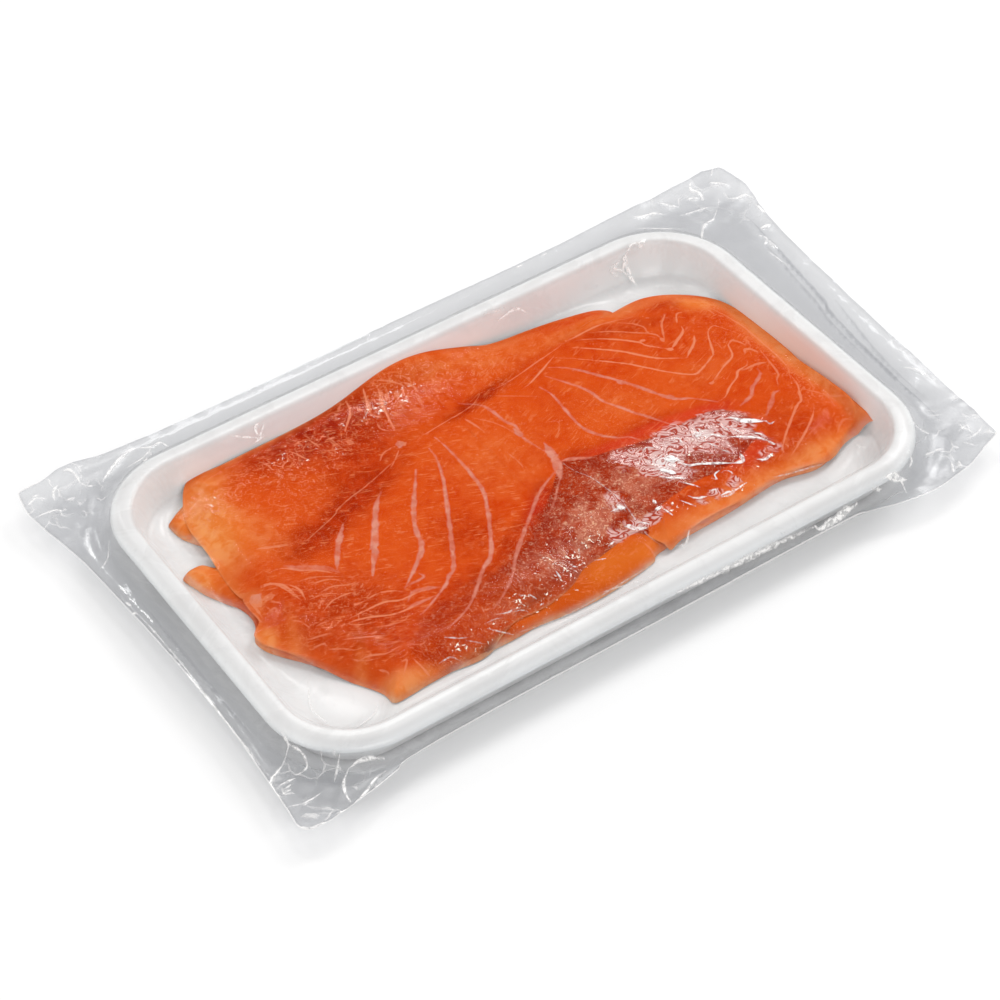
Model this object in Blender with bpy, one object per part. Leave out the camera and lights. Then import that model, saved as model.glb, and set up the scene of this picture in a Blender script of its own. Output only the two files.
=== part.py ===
"""A pack of smoked salmon: sliced fish in a shallow white tray, sealed in a clear vacuum bag.

Sizes below are in millimetres and MM turns them into Blender's metres. The origin is the middle of the
tray's underside, +X runs along the tray, +Y to the far side and +Z up.
"""

import math

import bpy
import bmesh
from mathutils import Vector
from mathutils.geometry import delaunay_2d_cdt, intersect_line_line_2d

MM = 0.001
GAP = 0.35                      # room left between neighbouring pieces

# tray
TRAY_LENGTH = 205.0
TRAY_WIDTH = 126.8
TRAY_CORNER = 25.5              # radius of the outline's corners
RIM_HEIGHT = 14.0
RIM_EDGE_HEIGHT = 11.9          # the rolled rim falls to this height at its outer edge
RIM_CREST_INSET = 4.75
LIP_THICKNESS = 0.9
FLOOR_HEIGHT = 2.2
FLOOR_INSET = 9.1               # outline to the foot of the inner wall
BASE_INSET = 6.9                # outline to the edge of the underside
WALL_FILLET = 1.6
CORNER_STEPS = 12

# bag
FILM_THICKNESS = 0.8            # the two films of the border with the air between them
BORDER_HEIGHT = 6.4             # top of the border above the ground
BORDER_WAVE = 1.5               # how far the crumpled corners rise and fall
SKIRT_REACH = 1.1               # where the film leaves the rim, measured out from it
SIDE_STEPS_LONG = 14
SIDE_STEPS_SHORT = 8

# salmon
UNDER_BOTTOM = FLOOR_HEIGHT + GAP
UNDER_THICKNESS = 2.7
UPPER_BOTTOM = UNDER_BOTTOM + UNDER_THICKNESS + GAP
UPPER_THICKNESS = 3.2           # of the two slices on top, in their middle
EDGE_THICKNESS = 1.5            # of the same slices near their edges
THINNING = 8.0                  # how far in from the edge they thin out
CREASE_GAP = 0.5                # half of the open crease between the two upper slices
WALL_LIFT = 4.9                 # how far the far slice climbs the tray's wall
WALL_LIFT_X = -4.0
WALL_LIFT_WIDTH = 18.0
WALL_LIFT_START = 47.0
WALL_LIFT_DEPTH = 9.5
OUTLINE_STEP = 4.6
SURFACE_STEP = 6.0

# The bag's cut edge, anticlockwise from the near left corner: the vacuum draws its sides in and
# leaves a crumpled ear standing out at every corner.
BAG_OUTLINE = (
    (-110.9, -60.0), (-111.5, -67.6), (-109.4, -70.9), (-104.5, -71.4), (-97.0, -70.7), (-82.5, -67.6),
    (-71.0, -65.6), (0.0, -65.3), (60.0, -65.2), (71.0, -65.9), (80.0, -68.3), (91.0, -69.7),
    (102.7, -68.4), (111.5, -65.6), (119.2, -62.0), (119.9, -56.5), (121.2, -32.0), (122.6, 3.0),
    (126.6, 47.0), (130.2, 63.5), (130.6, 70.0), (128.7, 77.6), (123.5, 79.8), (112.0, 78.6),
    (88.0, 78.6), (60.0, 77.2), (0.0, 76.8), (-67.0, 77.4), (-88.0, 78.4), (-98.0, 80.0),
    (-105.0, 79.2), (-113.4, 77.6), (-115.4, 69.0), (-114.0, 59.5), (-111.6, 44.0), (-110.0, 12.0),
    (-109.0, -30.0),
)

# The crease where the two upper slices meet, from its left end to its right end.
CREASE = (
    (-63.5, 11.6), (-47.0, 18.0), (-30.5, 25.2), (-16.5, 31.6), (2.5, 33.2), (18.0, 36.4),
    (34.5, 38.8), (46.0, 39.8), (55.0, 40.2),
)

UNDER_OUTLINE = (
    (-91.6, 25.8), (-89.6, 19.0), (-87.6, 13.0), (-83.6, 8.0), (-82.4, 0.6), (-86.0, -4.2), (-86.2, -10.2),
    (-79.2, -22.8), (-72.6, -35.6), (-68.4, -40.6), (-69.0, -45.2), (-58.5, -45.0), (-44.4, -46.3),
    (-30.4, -44.3), (-19.0, -45.4), (0.0, -45.2), (16.0, -44.7), (20.0, -41.6), (42.0, -41.2),
    (61.0, -39.4), (73.6, -41.6), (86.0, -37.0), (92.0, -33.0), (93.0, -20.0), (92.4, 0.0),
    (91.6, 20.0), (87.4, 31.0), (77.0, 40.0), (60.0, 44.4), (40.0, 47.4), (25.0, 49.4), (10.0, 51.8),
    (-20.0, 52.8), (-50.0, 53.0), (-69.0, 52.2), (-77.4, 47.6), (-85.0, 44.2), (-83.8, 39.6),
    (-80.2, 34.4), (-80.6, 27.6),
)

FAR_LEFT_END = ((-66.0, 53.4), (-74.0, 50.6), (-79.6, 43.4), (-82.4, 32.0), (-83.0, 21.0), (-82.2, 12.2),
                (-77.0, 9.8), (-70.0, 10.0))
FAR_RIGHT_END = ((61.6, 41.4), (62.4, 43.8), (59.0, 45.6), (40.0, 48.4), (27.0, 50.4), (19.6, 53.6),
                 (9.5, 55.1), (-4.0, 55.8), (-15.0, 55.3), (-28.0, 54.3), (-46.0, 53.8))

TOP_LEFT_END = ((-70.5, 8.2), (-78.0, 7.6), (-82.6, 2.4), (-83.8, -6.0), (-82.4, -14.0), (-77.0, -25.0),
                (-71.4, -35.0), (-62.0, -40.4), (-46.0, -40.8))
TOP_RIGHT_END = ((-26.0, -42.2), (-6.0, -40.6), (14.0, -34.8), (27.0, -33.4), (40.0, -36.8), (52.0, -35.6),
                 (66.0, -33.0), (78.0, -35.4), (87.6, -37.6), (92.6, -36.4), (93.7, -20.0), (93.2, 0.0),
                 (92.2, 20.0), (88.8, 31.0), (80.6, 38.4), (72.0, 42.0), (66.0, 42.6), (62.0, 40.4))


def remove_everything():
    for item in list(bpy.data.objects):
        bpy.data.objects.remove(item, do_unlink=True)


def make_material(name, colour, roughness, alpha=1.0, transmission=0.0):
    material = bpy.data.materials.new(name)
    material.use_nodes = True
    shader = material.node_tree.nodes["Principled BSDF"]
    shader.inputs["Base Color"].default_value = (*colour, 1.0)
    shader.inputs["Roughness"].default_value = roughness
    shader.inputs["Metallic"].default_value = 0.0
    shader.inputs["Alpha"].default_value = alpha
    shader.inputs["Transmission Weight"].default_value = transmission
    return material


def place_mesh(name, builder, material, parent):
    """Turns a bmesh made in millimetres into a smooth-shaded object in metres."""
    bmesh.ops.scale(builder, vec=(MM, MM, MM), verts=builder.verts)
    bmesh.ops.recalc_face_normals(builder, faces=builder.faces)
    mesh = bpy.data.meshes.new(name)
    builder.to_mesh(mesh)
    builder.free()
    mesh.shade_smooth()
    mesh.set_sharp_from_angle(angle=math.radians(40))
    mesh.materials.append(material)
    item = bpy.data.objects.new(name, mesh)
    bpy.context.scene.collection.objects.link(item)
    item.parent = parent
    return item


def smooth_step(value):
    value = min(max(value, 0.0), 1.0)
    return value * value * (3.0 - 2.0 * value)


# --- outlines ---

def tray_ring(inset, long_steps=1, short_steps=1):
    """Points of the tray's outline moved inwards, anticlockwise, with the outward direction at each."""
    radius = max(TRAY_CORNER - inset, 1.0)
    half_x = TRAY_LENGTH / 2 - inset - radius
    half_y = TRAY_WIDTH / 2 - inset - radius
    centres = ((half_x, -half_y), (half_x, half_y), (-half_x, half_y), (-half_x, -half_y))
    arcs = []
    for corner, (x, y) in enumerate(centres):
        arc = []
        for step in range(CORNER_STEPS + 1):
            angle = math.radians(90.0 * (corner - 1 + step / CORNER_STEPS))
            outward = Vector((math.cos(angle), math.sin(angle)))
            arc.append((Vector((x, y)) + outward * radius, outward))
        arcs.append(arc)
    points = []
    for corner, arc in enumerate(arcs):
        points += arc
        following = arcs[(corner + 1) % 4][0]
        steps = short_steps if corner % 2 == 0 else long_steps
        for step in range(1, steps):
            points.append((arc[-1][0].lerp(following[0], step / steps), following[1]))
    return points


def closed_curve(points, step):
    """A closed Catmull-Rom curve through the points, with a vertex about every step."""
    curve = []
    count = len(points)
    for i in range(count):
        p0, p1, p2, p3 = (Vector(points[(i + k) % count]) for k in (-1, 0, 1, 2))
        parts = max(1, round((p2 - p1).length / step))
        for part in range(parts):
            t = part / parts
            curve.append(0.5 * (2 * p1 + (p2 - p0) * t + (2 * p0 - 5 * p1 + 4 * p2 - p3) * t * t
                                + (3 * p1 - p0 - 3 * p2 + p3) * t ** 3))
    return curve


def inward(curve):
    """Unit vectors pointing into an anticlockwise curve, one for each of its points."""
    count = len(curve)
    result = []
    for i in range(count):
        along = (curve[(i + 1) % count] - curve[i - 1]).normalized()
        result.append(Vector((-along.y, along.x)))
    return result


def distance_to(curve, point):
    nearest = 1e9
    for i, start in enumerate(curve):
        end = curve[(i + 1) % len(curve)]
        span = end - start
        t = min(max((point - start).dot(span) / max(span.length_squared, 1e-9), 0.0), 1.0)
        nearest = min(nearest, (start + span * t - point).length)
    return nearest


def is_inside(curve, point):
    crossings = 0
    for i, a in enumerate(curve):
        b = curve[(i + 1) % len(curve)]
        if (a.y > point.y) != (b.y > point.y):
            crossings += point.x < (b.x - a.x) * (point.y - a.y) / (b.y - a.y) + a.x
    return crossings % 2 == 1


def bridge(builder, lower, upper):
    count = len(lower)
    for i in range(count):
        j = (i + 1) % count
        builder.faces.new((lower[i], lower[j], upper[j], upper[i]))


# --- tray ---

def tray_profile():
    """Inset and height of each ring, from the underside round the rim to the floor."""
    lip_under = RIM_EDGE_HEIGHT - LIP_THICKNESS
    floor_foot = FLOOR_INSET + WALL_FILLET
    return (
        (BASE_INSET + 1.4, 0.0),
        (BASE_INSET + 0.3, 0.4),
        (BASE_INSET - 0.4, 1.5),
        (4.1, lip_under - 1.4),
        (3.3, lip_under - 0.5),
        (2.4, lip_under - 0.1),
        (0.35, lip_under),
        (0.0, lip_under + 0.35),
        (0.2, RIM_EDGE_HEIGHT),
        (1.3, RIM_EDGE_HEIGHT + 0.8),
        (2.8, RIM_HEIGHT - 0.5),
        (RIM_CREST_INSET - 0.6, RIM_HEIGHT - 0.05),
        (RIM_CREST_INSET + 0.6, RIM_HEIGHT - 0.05),
        (RIM_CREST_INSET + 1.4, RIM_HEIGHT - 0.7),
        (RIM_CREST_INSET + 2.0, RIM_HEIGHT - 2.2),
        (FLOOR_INSET - 0.3, FLOOR_HEIGHT + WALL_FILLET),
        (FLOOR_INSET + 0.4, FLOOR_HEIGHT + 0.35 * WALL_FILLET),
        (floor_foot, FLOOR_HEIGHT),
    )


def make_tray(parent):
    builder = bmesh.new()
    rings = []
    for inset, height in tray_profile():
        rings.append([builder.verts.new((p.x, p.y, height)) for p, outward in tray_ring(inset)])
    for lower, upper in zip(rings, rings[1:]):
        bridge(builder, lower, upper)
    builder.faces.new(rings[0][::-1])
    builder.faces.new(rings[-1])
    white = make_material("tray_white", (0.86, 0.86, 0.85), 0.42)
    return place_mesh("tray", builder, white, parent)


# --- bag ---

def border_reach(start, outward, outline):
    """How far the bag's cut edge lies outside the rim, looking straight out from one point of it."""
    far = start + outward * 80.0
    hits = []
    for i, a in enumerate(outline):
        hit = intersect_line_line_2d(start, far, a, outline[(i + 1) % len(outline)])
        if hit is not None:
            hits.append((hit - start).length)
    return min(hits)


def border_wave(point, reach):
    """Rise and fall of the border: flat beside the rim, crumpled out in the corner ears."""
    share = smooth_step((reach - 4.0) / 22.0)
    ripple = math.sin(0.31 * point.x + 0.12 * point.y) * math.cos(0.27 * point.y - 0.05 * point.x)
    return BORDER_WAVE * share * ripple


def bag_section(reach):
    """Points of the border's section as (distance out from the rim, height, share of the wave)."""
    lip_under = RIM_EDGE_HEIGHT - LIP_THICKNESS
    skirt = min(SKIRT_REACH, 0.8 * reach)
    middle = 0.5 * (skirt + reach)
    top = BORDER_HEIGHT
    under = BORDER_HEIGHT - FILM_THICKNESS
    return (
        (GAP - BASE_INSET + 0.1, 0.35, 0.0),
        (GAP - 3.9, lip_under - 1.9, 0.0),
        (GAP - 1.8, lip_under - 0.75, 0.0),
        (GAP + 0.05, lip_under - 0.5, 0.0),
        (GAP + 0.05, RIM_EDGE_HEIGHT - 0.5, 0.0),
        (0.45 * skirt + GAP, 0.5 * (RIM_EDGE_HEIGHT + top), 0.0),
        (skirt + GAP, top + 0.25, 0.0),
        (middle, top, 0.6),
        (reach, top - 0.15, 1.0),
        (reach, under - 0.15, 1.0),
        (middle, under, 0.6),
        (skirt, under - 0.1, 0.0),
        (-2.2, 2.6, 0.0),
        (GAP - BASE_INSET + 0.6, 0.0, 0.0),
    )


def make_bag(parent):
    """The clear bag's border: film down from the rim, the flat sealed edge and its ears, and the film back
    to the tray's underside. The film drawn down onto the fish is too thin to be a solid."""
    outline = closed_curve(BAG_OUTLINE, OUTLINE_STEP)
    builder = bmesh.new()
    stations = tray_ring(0.0, SIDE_STEPS_LONG, SIDE_STEPS_SHORT)
    sections = []
    for start, outward in stations:
        reach = border_reach(start, outward, outline)
        section = []
        for out, height, share in bag_section(reach):
            point = start + outward * out
            height += share * border_wave(point, reach)
            section.append(builder.verts.new((point.x, point.y, height)))
        sections.append(section)
    for i, section in enumerate(sections):
        bridge(builder, section, sections[(i + 1) % len(sections)])
    film = make_material("clear_film", (0.86, 0.88, 0.9), 0.08, alpha=0.3, transmission=0.9)
    return place_mesh("bag", builder, film, parent)


# --- salmon ---

def make_slice(name, outline_points, bottom, top, material, parent, flat=False):
    """A slice with rounded edges. bottom and top give its heights at a point; the inside of its upper face
    carries a grid of points, unless it is flat."""
    outline = closed_curve(outline_points, OUTLINE_STEP)
    directions = inward(outline)
    builder = bmesh.new()

    def ring(inset, height_at):
        vertices = []
        for point, direction in zip(outline, directions):
            place = point + direction * inset
            vertices.append(builder.verts.new((place.x, place.y, height_at(place))))
        return vertices

    def middle(share):
        return lambda place: bottom(place) + share * (top(place) - bottom(place))

    under = ring(0.7, bottom)
    side = ring(0.0, middle(0.42))
    shoulder = ring(0.5, middle(0.86))
    edge = ring(1.5, top)
    for lower, upper in ((under, side), (side, shoulder), (shoulder, edge)):
        bridge(builder, lower, upper)
    inner = [Vector(v.co.xy) for v in edge]
    grid = []
    if not flat:
        low = Vector((min(p.x for p in inner), min(p.y for p in inner)))
        high = Vector((max(p.x for p in inner), max(p.y for p in inner)))
        for row in range(1, int((high.y - low.y) / SURFACE_STEP) + 1):
            shift = 0.5 * SURFACE_STEP * (row % 2)
            for column in range(int((high.x - low.x) / SURFACE_STEP) + 1):
                place = low + Vector((column * SURFACE_STEP + shift, row * SURFACE_STEP))
                if is_inside(inner, place) and distance_to(inner, place) > 0.5 * SURFACE_STEP:
                    grid.append(place)
    cover(builder, edge, inner, grid, top)
    if flat:
        builder.faces.new(under[::-1])
    else:
        cover(builder, under, [Vector(v.co.xy) for v in under], grid, bottom)
    return place_mesh(name, builder, material, parent)


def cover(builder, rim, rim_points, grid, height_at):
    """Fills a rim of vertices with triangles that also use the grid's points."""
    count = len(rim)
    loops = [(i, (i + 1) % count) for i in range(count)]
    points, _, faces, origins, _, _ = delaunay_2d_cdt(rim_points + grid, loops, [], 1, 1e-5)
    vertices = []
    for point, origin in zip(points, origins):
        if origin and origin[0] < count:
            vertices.append(rim[origin[0]])
        else:
            vertices.append(builder.verts.new((point.x, point.y, height_at(point))))
    for face in faces:
        builder.faces.new([vertices[i] for i in face])


def wall_lift(place):
    """The far slice climbs the tray's far wall in its middle."""
    across = math.exp(-((place.x - WALL_LIFT_X) / WALL_LIFT_WIDTH) ** 2)
    return WALL_LIFT * across * smooth_step((place.y - WALL_LIFT_START) / WALL_LIFT_DEPTH)


def slice_top(outline_points, bottom, swell):
    """Upper surface of a slice that thins towards its edges and swells gently over its middle."""
    outline = closed_curve(outline_points, OUTLINE_STEP)

    def top(place):
        share = smooth_step(distance_to(outline, place) / THINNING)
        thickness = EDGE_THICKNESS + (UPPER_THICKNESS - EDGE_THICKNESS) * share
        wave = swell * share * math.sin(0.055 * place.x + 0.03 * place.y + 0.6)
        return bottom(place) + thickness + wave

    return top


def make_salmon(parent):
    flesh = make_material("salmon_flesh", (0.78, 0.13, 0.03), 0.25)
    smoked = make_material("salmon_smoked", (0.7, 0.16, 0.03), 0.3)
    make_slice("under_slice", UNDER_OUTLINE, lambda place: UNDER_BOTTOM,
               lambda place: UNDER_BOTTOM + UNDER_THICKNESS, smoked, parent, flat=True)

    def far_bottom(place):
        return UPPER_BOTTOM + wall_lift(place)

    lifted = [(x, y + CREASE_GAP) for x, y in CREASE]
    far_outline = tuple(lifted) + FAR_RIGHT_END + FAR_LEFT_END
    make_slice("far_slice", far_outline, far_bottom, slice_top(far_outline, far_bottom, 0.3), flesh, parent)

    def top_bottom(place):
        return UPPER_BOTTOM

    lowered = [(x, y - CREASE_GAP) for x, y in reversed(CREASE)]
    top_outline = tuple(lowered) + TOP_LEFT_END + TOP_RIGHT_END
    make_slice("top_slice", top_outline, top_bottom, slice_top(top_outline, top_bottom, 0.35), flesh, parent)


def main():
    remove_everything()
    pack = bpy.data.objects.new("salmon_pack", None)
    bpy.context.scene.collection.objects.link(pack)
    make_tray(pack)
    make_bag(pack)
    make_salmon(pack)


main()
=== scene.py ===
import math
import bpy
import numpy as np
from mathutils import Matrix, Vector
from mathutils.geometry import delaunay_2d_cdt


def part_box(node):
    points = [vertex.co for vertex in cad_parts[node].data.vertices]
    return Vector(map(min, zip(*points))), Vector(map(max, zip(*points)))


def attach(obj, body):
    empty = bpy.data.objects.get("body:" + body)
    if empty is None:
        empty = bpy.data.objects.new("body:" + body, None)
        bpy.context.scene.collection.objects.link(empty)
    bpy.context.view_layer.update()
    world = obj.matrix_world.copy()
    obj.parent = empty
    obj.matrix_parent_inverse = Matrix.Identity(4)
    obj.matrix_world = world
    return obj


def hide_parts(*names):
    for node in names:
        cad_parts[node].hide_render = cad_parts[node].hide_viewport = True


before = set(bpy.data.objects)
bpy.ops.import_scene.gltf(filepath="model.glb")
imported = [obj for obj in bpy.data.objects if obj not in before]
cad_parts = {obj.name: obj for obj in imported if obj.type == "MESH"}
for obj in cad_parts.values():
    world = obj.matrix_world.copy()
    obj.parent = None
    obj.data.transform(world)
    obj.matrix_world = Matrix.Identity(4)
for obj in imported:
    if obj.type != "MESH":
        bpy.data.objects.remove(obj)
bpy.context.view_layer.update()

mm = 0.001
nodes = ("tray", "bag", "under_slice", "top_slice", "far_slice")
nodeBox = {node: np.array(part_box(node)) / mm for node in nodes}
trayLow, trayHigh = nodeBox["tray"]


def ease(value):                                   # 0 to 1 with soft ends
    value = np.clip(value, 0.0, 1.0)
    return value * value * (3.0 - 2.0 * value)


def mix(a, b, share):
    return a + (b - a) * share


def cloud(x, y, size, seed):                       # smooth noise from 0 to 1, with lumps of this size in mm
    table = np.random.default_rng(seed).random((257, 257))
    u, v = np.asarray(x) / size, np.asarray(y) / size
    iu, iv = np.floor(u).astype(int), np.floor(v).astype(int)
    fu, fv = ease(u - iu), ease(v - iv)
    iu, iv = iu % 256, iv % 256
    low = mix(table[iu, iv], table[iu + 1, iv], fu)
    high = mix(table[iu, iv + 1], table[iu + 1, iv + 1], fu)
    return mix(low, high, fv)


def clouds(x, y, size, seed, layers=3):            # the same with finer noise on top
    total, weight = 0.0, 0.0
    for layer in range(layers):
        share = 0.5 ** layer
        total = total + share * cloud(x, y, size * share, seed + layer)
        weight += share
    return total / weight


def turned(x, y, degrees):
    c, s = math.cos(math.radians(degrees)), math.sin(math.radians(degrees))
    return x * c + y * s, y * c - x * s


def foldWaves(x, y, length, degrees, warp, seed):  # ridges across one direction, from 0 in valleys to 1
    u, v = turned(x, y, degrees)
    phase = u / length + warp * (cloud(x, y, length * 1.7, seed) - 0.5) * 2
    return np.abs((phase % 1.0) - 0.5) * 2


def smoothCurve(points, step, closed=False):       # Catmull-Rom through the points, resampled evenly
    p = np.array(points, float).reshape(-1, 2)
    if closed:
        p = np.vstack([p[-1], p, p[0], p[1]])
    else:
        p = np.vstack([2 * p[0] - p[1], p, 2 * p[-1] - p[-2]])
    t = np.linspace(0, 1, 24, endpoint=False)[:, None]
    runs = []
    for a, b, c, d in zip(p[:-3], p[1:-2], p[2:-1], p[3:]):
        runs.append(0.5 * (2 * b + (c - a) * t + (2 * a - 5 * b + 4 * c - d) * t ** 2
                           + (3 * b - a - 3 * c + d) * t ** 3))
    runs.append(p[-2][None])
    fine = np.vstack(runs)
    along = np.concatenate([[0], np.cumsum(np.hypot(*np.diff(fine, axis=0).T))])
    count = max(3, int(round(along[-1] / step)))
    at = np.linspace(0, along[-1], count + 1)
    even = np.stack([np.interp(at, along, fine[:, k]) for k in (0, 1)], axis=1)
    return even[:-1] if closed else even


def insideDepth(curve, x, y):                      # distance in from a closed curve, negative outside it
    start, end = curve, np.roll(curve, -1, axis=0)
    result = np.empty(len(x))
    for at in range(0, len(x), 4000):
        px, py = x[at:at + 4000, None], y[at:at + 4000, None]
        sx, sy = end[:, 0] - start[:, 0], end[:, 1] - start[:, 1]
        t = ((px - start[:, 0]) * sx + (py - start[:, 1]) * sy) / (sx * sx + sy * sy)
        t = np.clip(t, 0, 1)
        near = np.hypot(start[:, 0] + t * sx - px, start[:, 1] + t * sy - py).min(axis=1)
        above = (start[:, 1] > py) != (end[:, 1] > py)
        cross = px < sx * (py - start[:, 1]) / np.where(sy == 0, 1e-9, sy) + start[:, 0]
        result[at:at + 4000] = np.where((above & cross).sum(axis=1) % 2 == 1, near, -near)
    return result


def besideLine(x, y, line, reach):                 # which points lie within reach of a line's box
    low, high = line.min(axis=0) - reach, line.max(axis=0) + reach
    return np.flatnonzero((x > low[0]) & (x < high[0]) & (y > low[1]) & (y < high[1]))


def nearestOn(line, x, y):                         # distance to a line, and how far along it from 0 to 1
    away = np.hypot(x[:, None] - line[:, 0], y[:, None] - line[:, 1])
    nearest = away.argmin(axis=1)
    return away[np.arange(len(x)), nearest], nearest / (len(line) - 1)


lineReach = 1.0                                    # mm beside a drawn line over which its mark falls off
mostPairs = 3000000                                # distances worked out at a time


# strokes are (width, strength, x, y, ...), and the mark is 0.5 at a line's side
def drawStrokes(x, y, strokes, seed=1):
    mark, power = np.zeros(len(x)), np.zeros(len(x))
    wobble = 0.45 + 1.1 * clouds(x, y, 2.0, seed, 2)
    for width, strength, *points in strokes:
        line = smoothCurve(points, 0.15)
        near = besideLine(x, y, line, width + 2 * lineReach)
        if not len(near):
            continue
        for part in np.array_split(near, 1 + len(near) * len(line) // mostPairs):
            away, share = nearestOn(line, x[part], y[part])
            half = 0.5 * width * np.minimum(1, 0.2 + 3.0 * np.minimum(share, 1 - share)) * wobble[part]
            drawn = 0.5 + (half - away) / (2 * lineReach)
            power[part] = np.where(drawn > mark[part], strength, power[part])
            mark[part] = np.maximum(drawn, mark[part])
    return np.clip(mark, 0, 1), power


def drawVeins(x, y, zones):                        # fine marbling, marked like the strokes
    mark = np.zeros(len(x))
    for k, (halfWidth, cx, cy, wide, high, spacing, degrees) in enumerate(zones):
        zone = np.exp(-(((x - cx) / wide) ** 2 + ((y - cy) / high) ** 2) ** 2)
        ridge = foldWaves(x, y, spacing, degrees, 1.2, 90 + 7 * k)
        broken = ease((clouds(x, y, spacing * 1.5, 60 + 5 * k, 2) - 0.42) / 0.16)
        half = halfWidth * zone * broken - 0.3 * (1 - zone * broken)
        mark = np.maximum(mark, 0.5 + (half - (1 - ridge) * spacing / 2) / (2 * lineReach))
    return np.clip(mark, 0, 1)


# each blob is (strength, x, y, half width, half height, turn)
def drawBlobs(x, y, blobs):
    drawn = np.zeros(len(x))
    for strength, cx, cy, wide, high, turn in blobs:
        u, v = turned(x - cx, y - cy, turn)
        mark = strength * np.exp(-((u / wide) ** 2 + (v / high) ** 2) ** 1.4)
        drawn = drawn + mark * (1 - drawn)
    return drawn


def fillOutline(outline, extra, bottom=False):     # triangles over a closed outline and the points inside it
    points = [Vector(p) for p in np.vstack([outline, extra])]
    rim = [(i, (i + 1) % len(outline)) for i in range(len(outline))]
    verts, _, faces, *_ = delaunay_2d_cdt(points, rim, [], 1, 1e-7)
    place = np.array([tuple(v) for v in verts])
    faces = np.array([f for f in faces if len(f) == 3])
    return place, faces[:, ::-1] if bottom else faces


def gridPoints(outline, step, margin, seed=5):     # a slightly shaken grid of points inside an outline
    low, high = outline.min(axis=0), outline.max(axis=0)
    gx, gy = np.meshgrid(np.arange(low[0], high[0], step), np.arange(low[1], high[1], step * 0.866))
    gx = gx + step * 0.5 * (np.arange(gx.shape[0]) % 2)[:, None]
    gx, gy = gx.ravel(), gy.ravel()
    shake = np.random.default_rng(seed).uniform(-0.12, 0.12, (2, len(gx))) * step
    gx, gy = gx + shake[0], gy + shake[1]
    depth = insideDepth(outline, gx, gy)
    keep = depth > margin
    return np.stack([gx[keep], gy[keep]], axis=1)


def buildPiece(name, places, faces, paint, masks=None):
    mesh = bpy.data.meshes.new(name)
    mesh.from_pydata((places * mm).tolist(), [], faces)
    for key, values in (masks or {}).items():
        layer = mesh.attributes.new(key, "FLOAT", "POINT")
        layer.data.foreach_set("value", np.asarray(values, np.float32))
    mesh.polygons.foreach_set("use_smooth", [True] * len(mesh.polygons))
    mesh.materials.append(paint)
    mesh.update()
    mesh.set_sharp_from_angle(angle=math.radians(70))
    piece = bpy.data.objects.new(name, mesh)
    bpy.context.scene.collection.objects.link(piece)
    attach(piece, "root")
    return piece


def closedSheet(outline, topExtra, bottomExtra):   # two sheets that share their outline
    top, topFaces = fillOutline(outline, topExtra)
    under, underFaces = fillOutline(outline, bottomExtra, bottom=True)
    ring = len(outline)
    shift = np.where(np.arange(len(under)) < ring, 0, len(top) - ring) + np.arange(len(under))
    plan = np.vstack([top, under[ring:]])
    isTop = np.arange(len(plan)) < len(top)
    return plan, isTop, topFaces.tolist() + shift[underFaces].tolist()


class Wire:                                        # wraps a socket, so that sums on it add nodes
    def __init__(self, paint, socket):
        self.paint, self.socket = paint, socket

    def combine(self, operation, other, swap=False):
        kinds = {self.socket.type, other.socket.type if isinstance(other, Wire) else "VALUE"}
        if isinstance(other, (tuple, list)):
            kinds.add("VECTOR")
        pair = (other, self) if swap else (self, other)
        if "RGBA" in kinds:
            return self.paint.blend(1.0, pair[0], pair[1], operation)
        if "VECTOR" in kinds:
            return self.paint.node("ShaderNodeVectorMath", {"operation": operation}, {0: pair[0], 1: pair[1]})
        return self.paint.node("ShaderNodeMath", {"operation": operation}, {0: pair[0], 1: pair[1]})

    def __add__(self, other):
        return self.combine("ADD", other)

    def __radd__(self, other):
        return self.combine("ADD", other, True)

    def __sub__(self, other):
        return self.combine("SUBTRACT", other)

    def __rsub__(self, other):
        return self.combine("SUBTRACT", other, True)

    def __mul__(self, other):
        return self.combine("MULTIPLY", other)

    def __rmul__(self, other):
        return self.combine("MULTIPLY", other, True)

    def __pow__(self, other):
        return self.combine("POWER", other)


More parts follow.
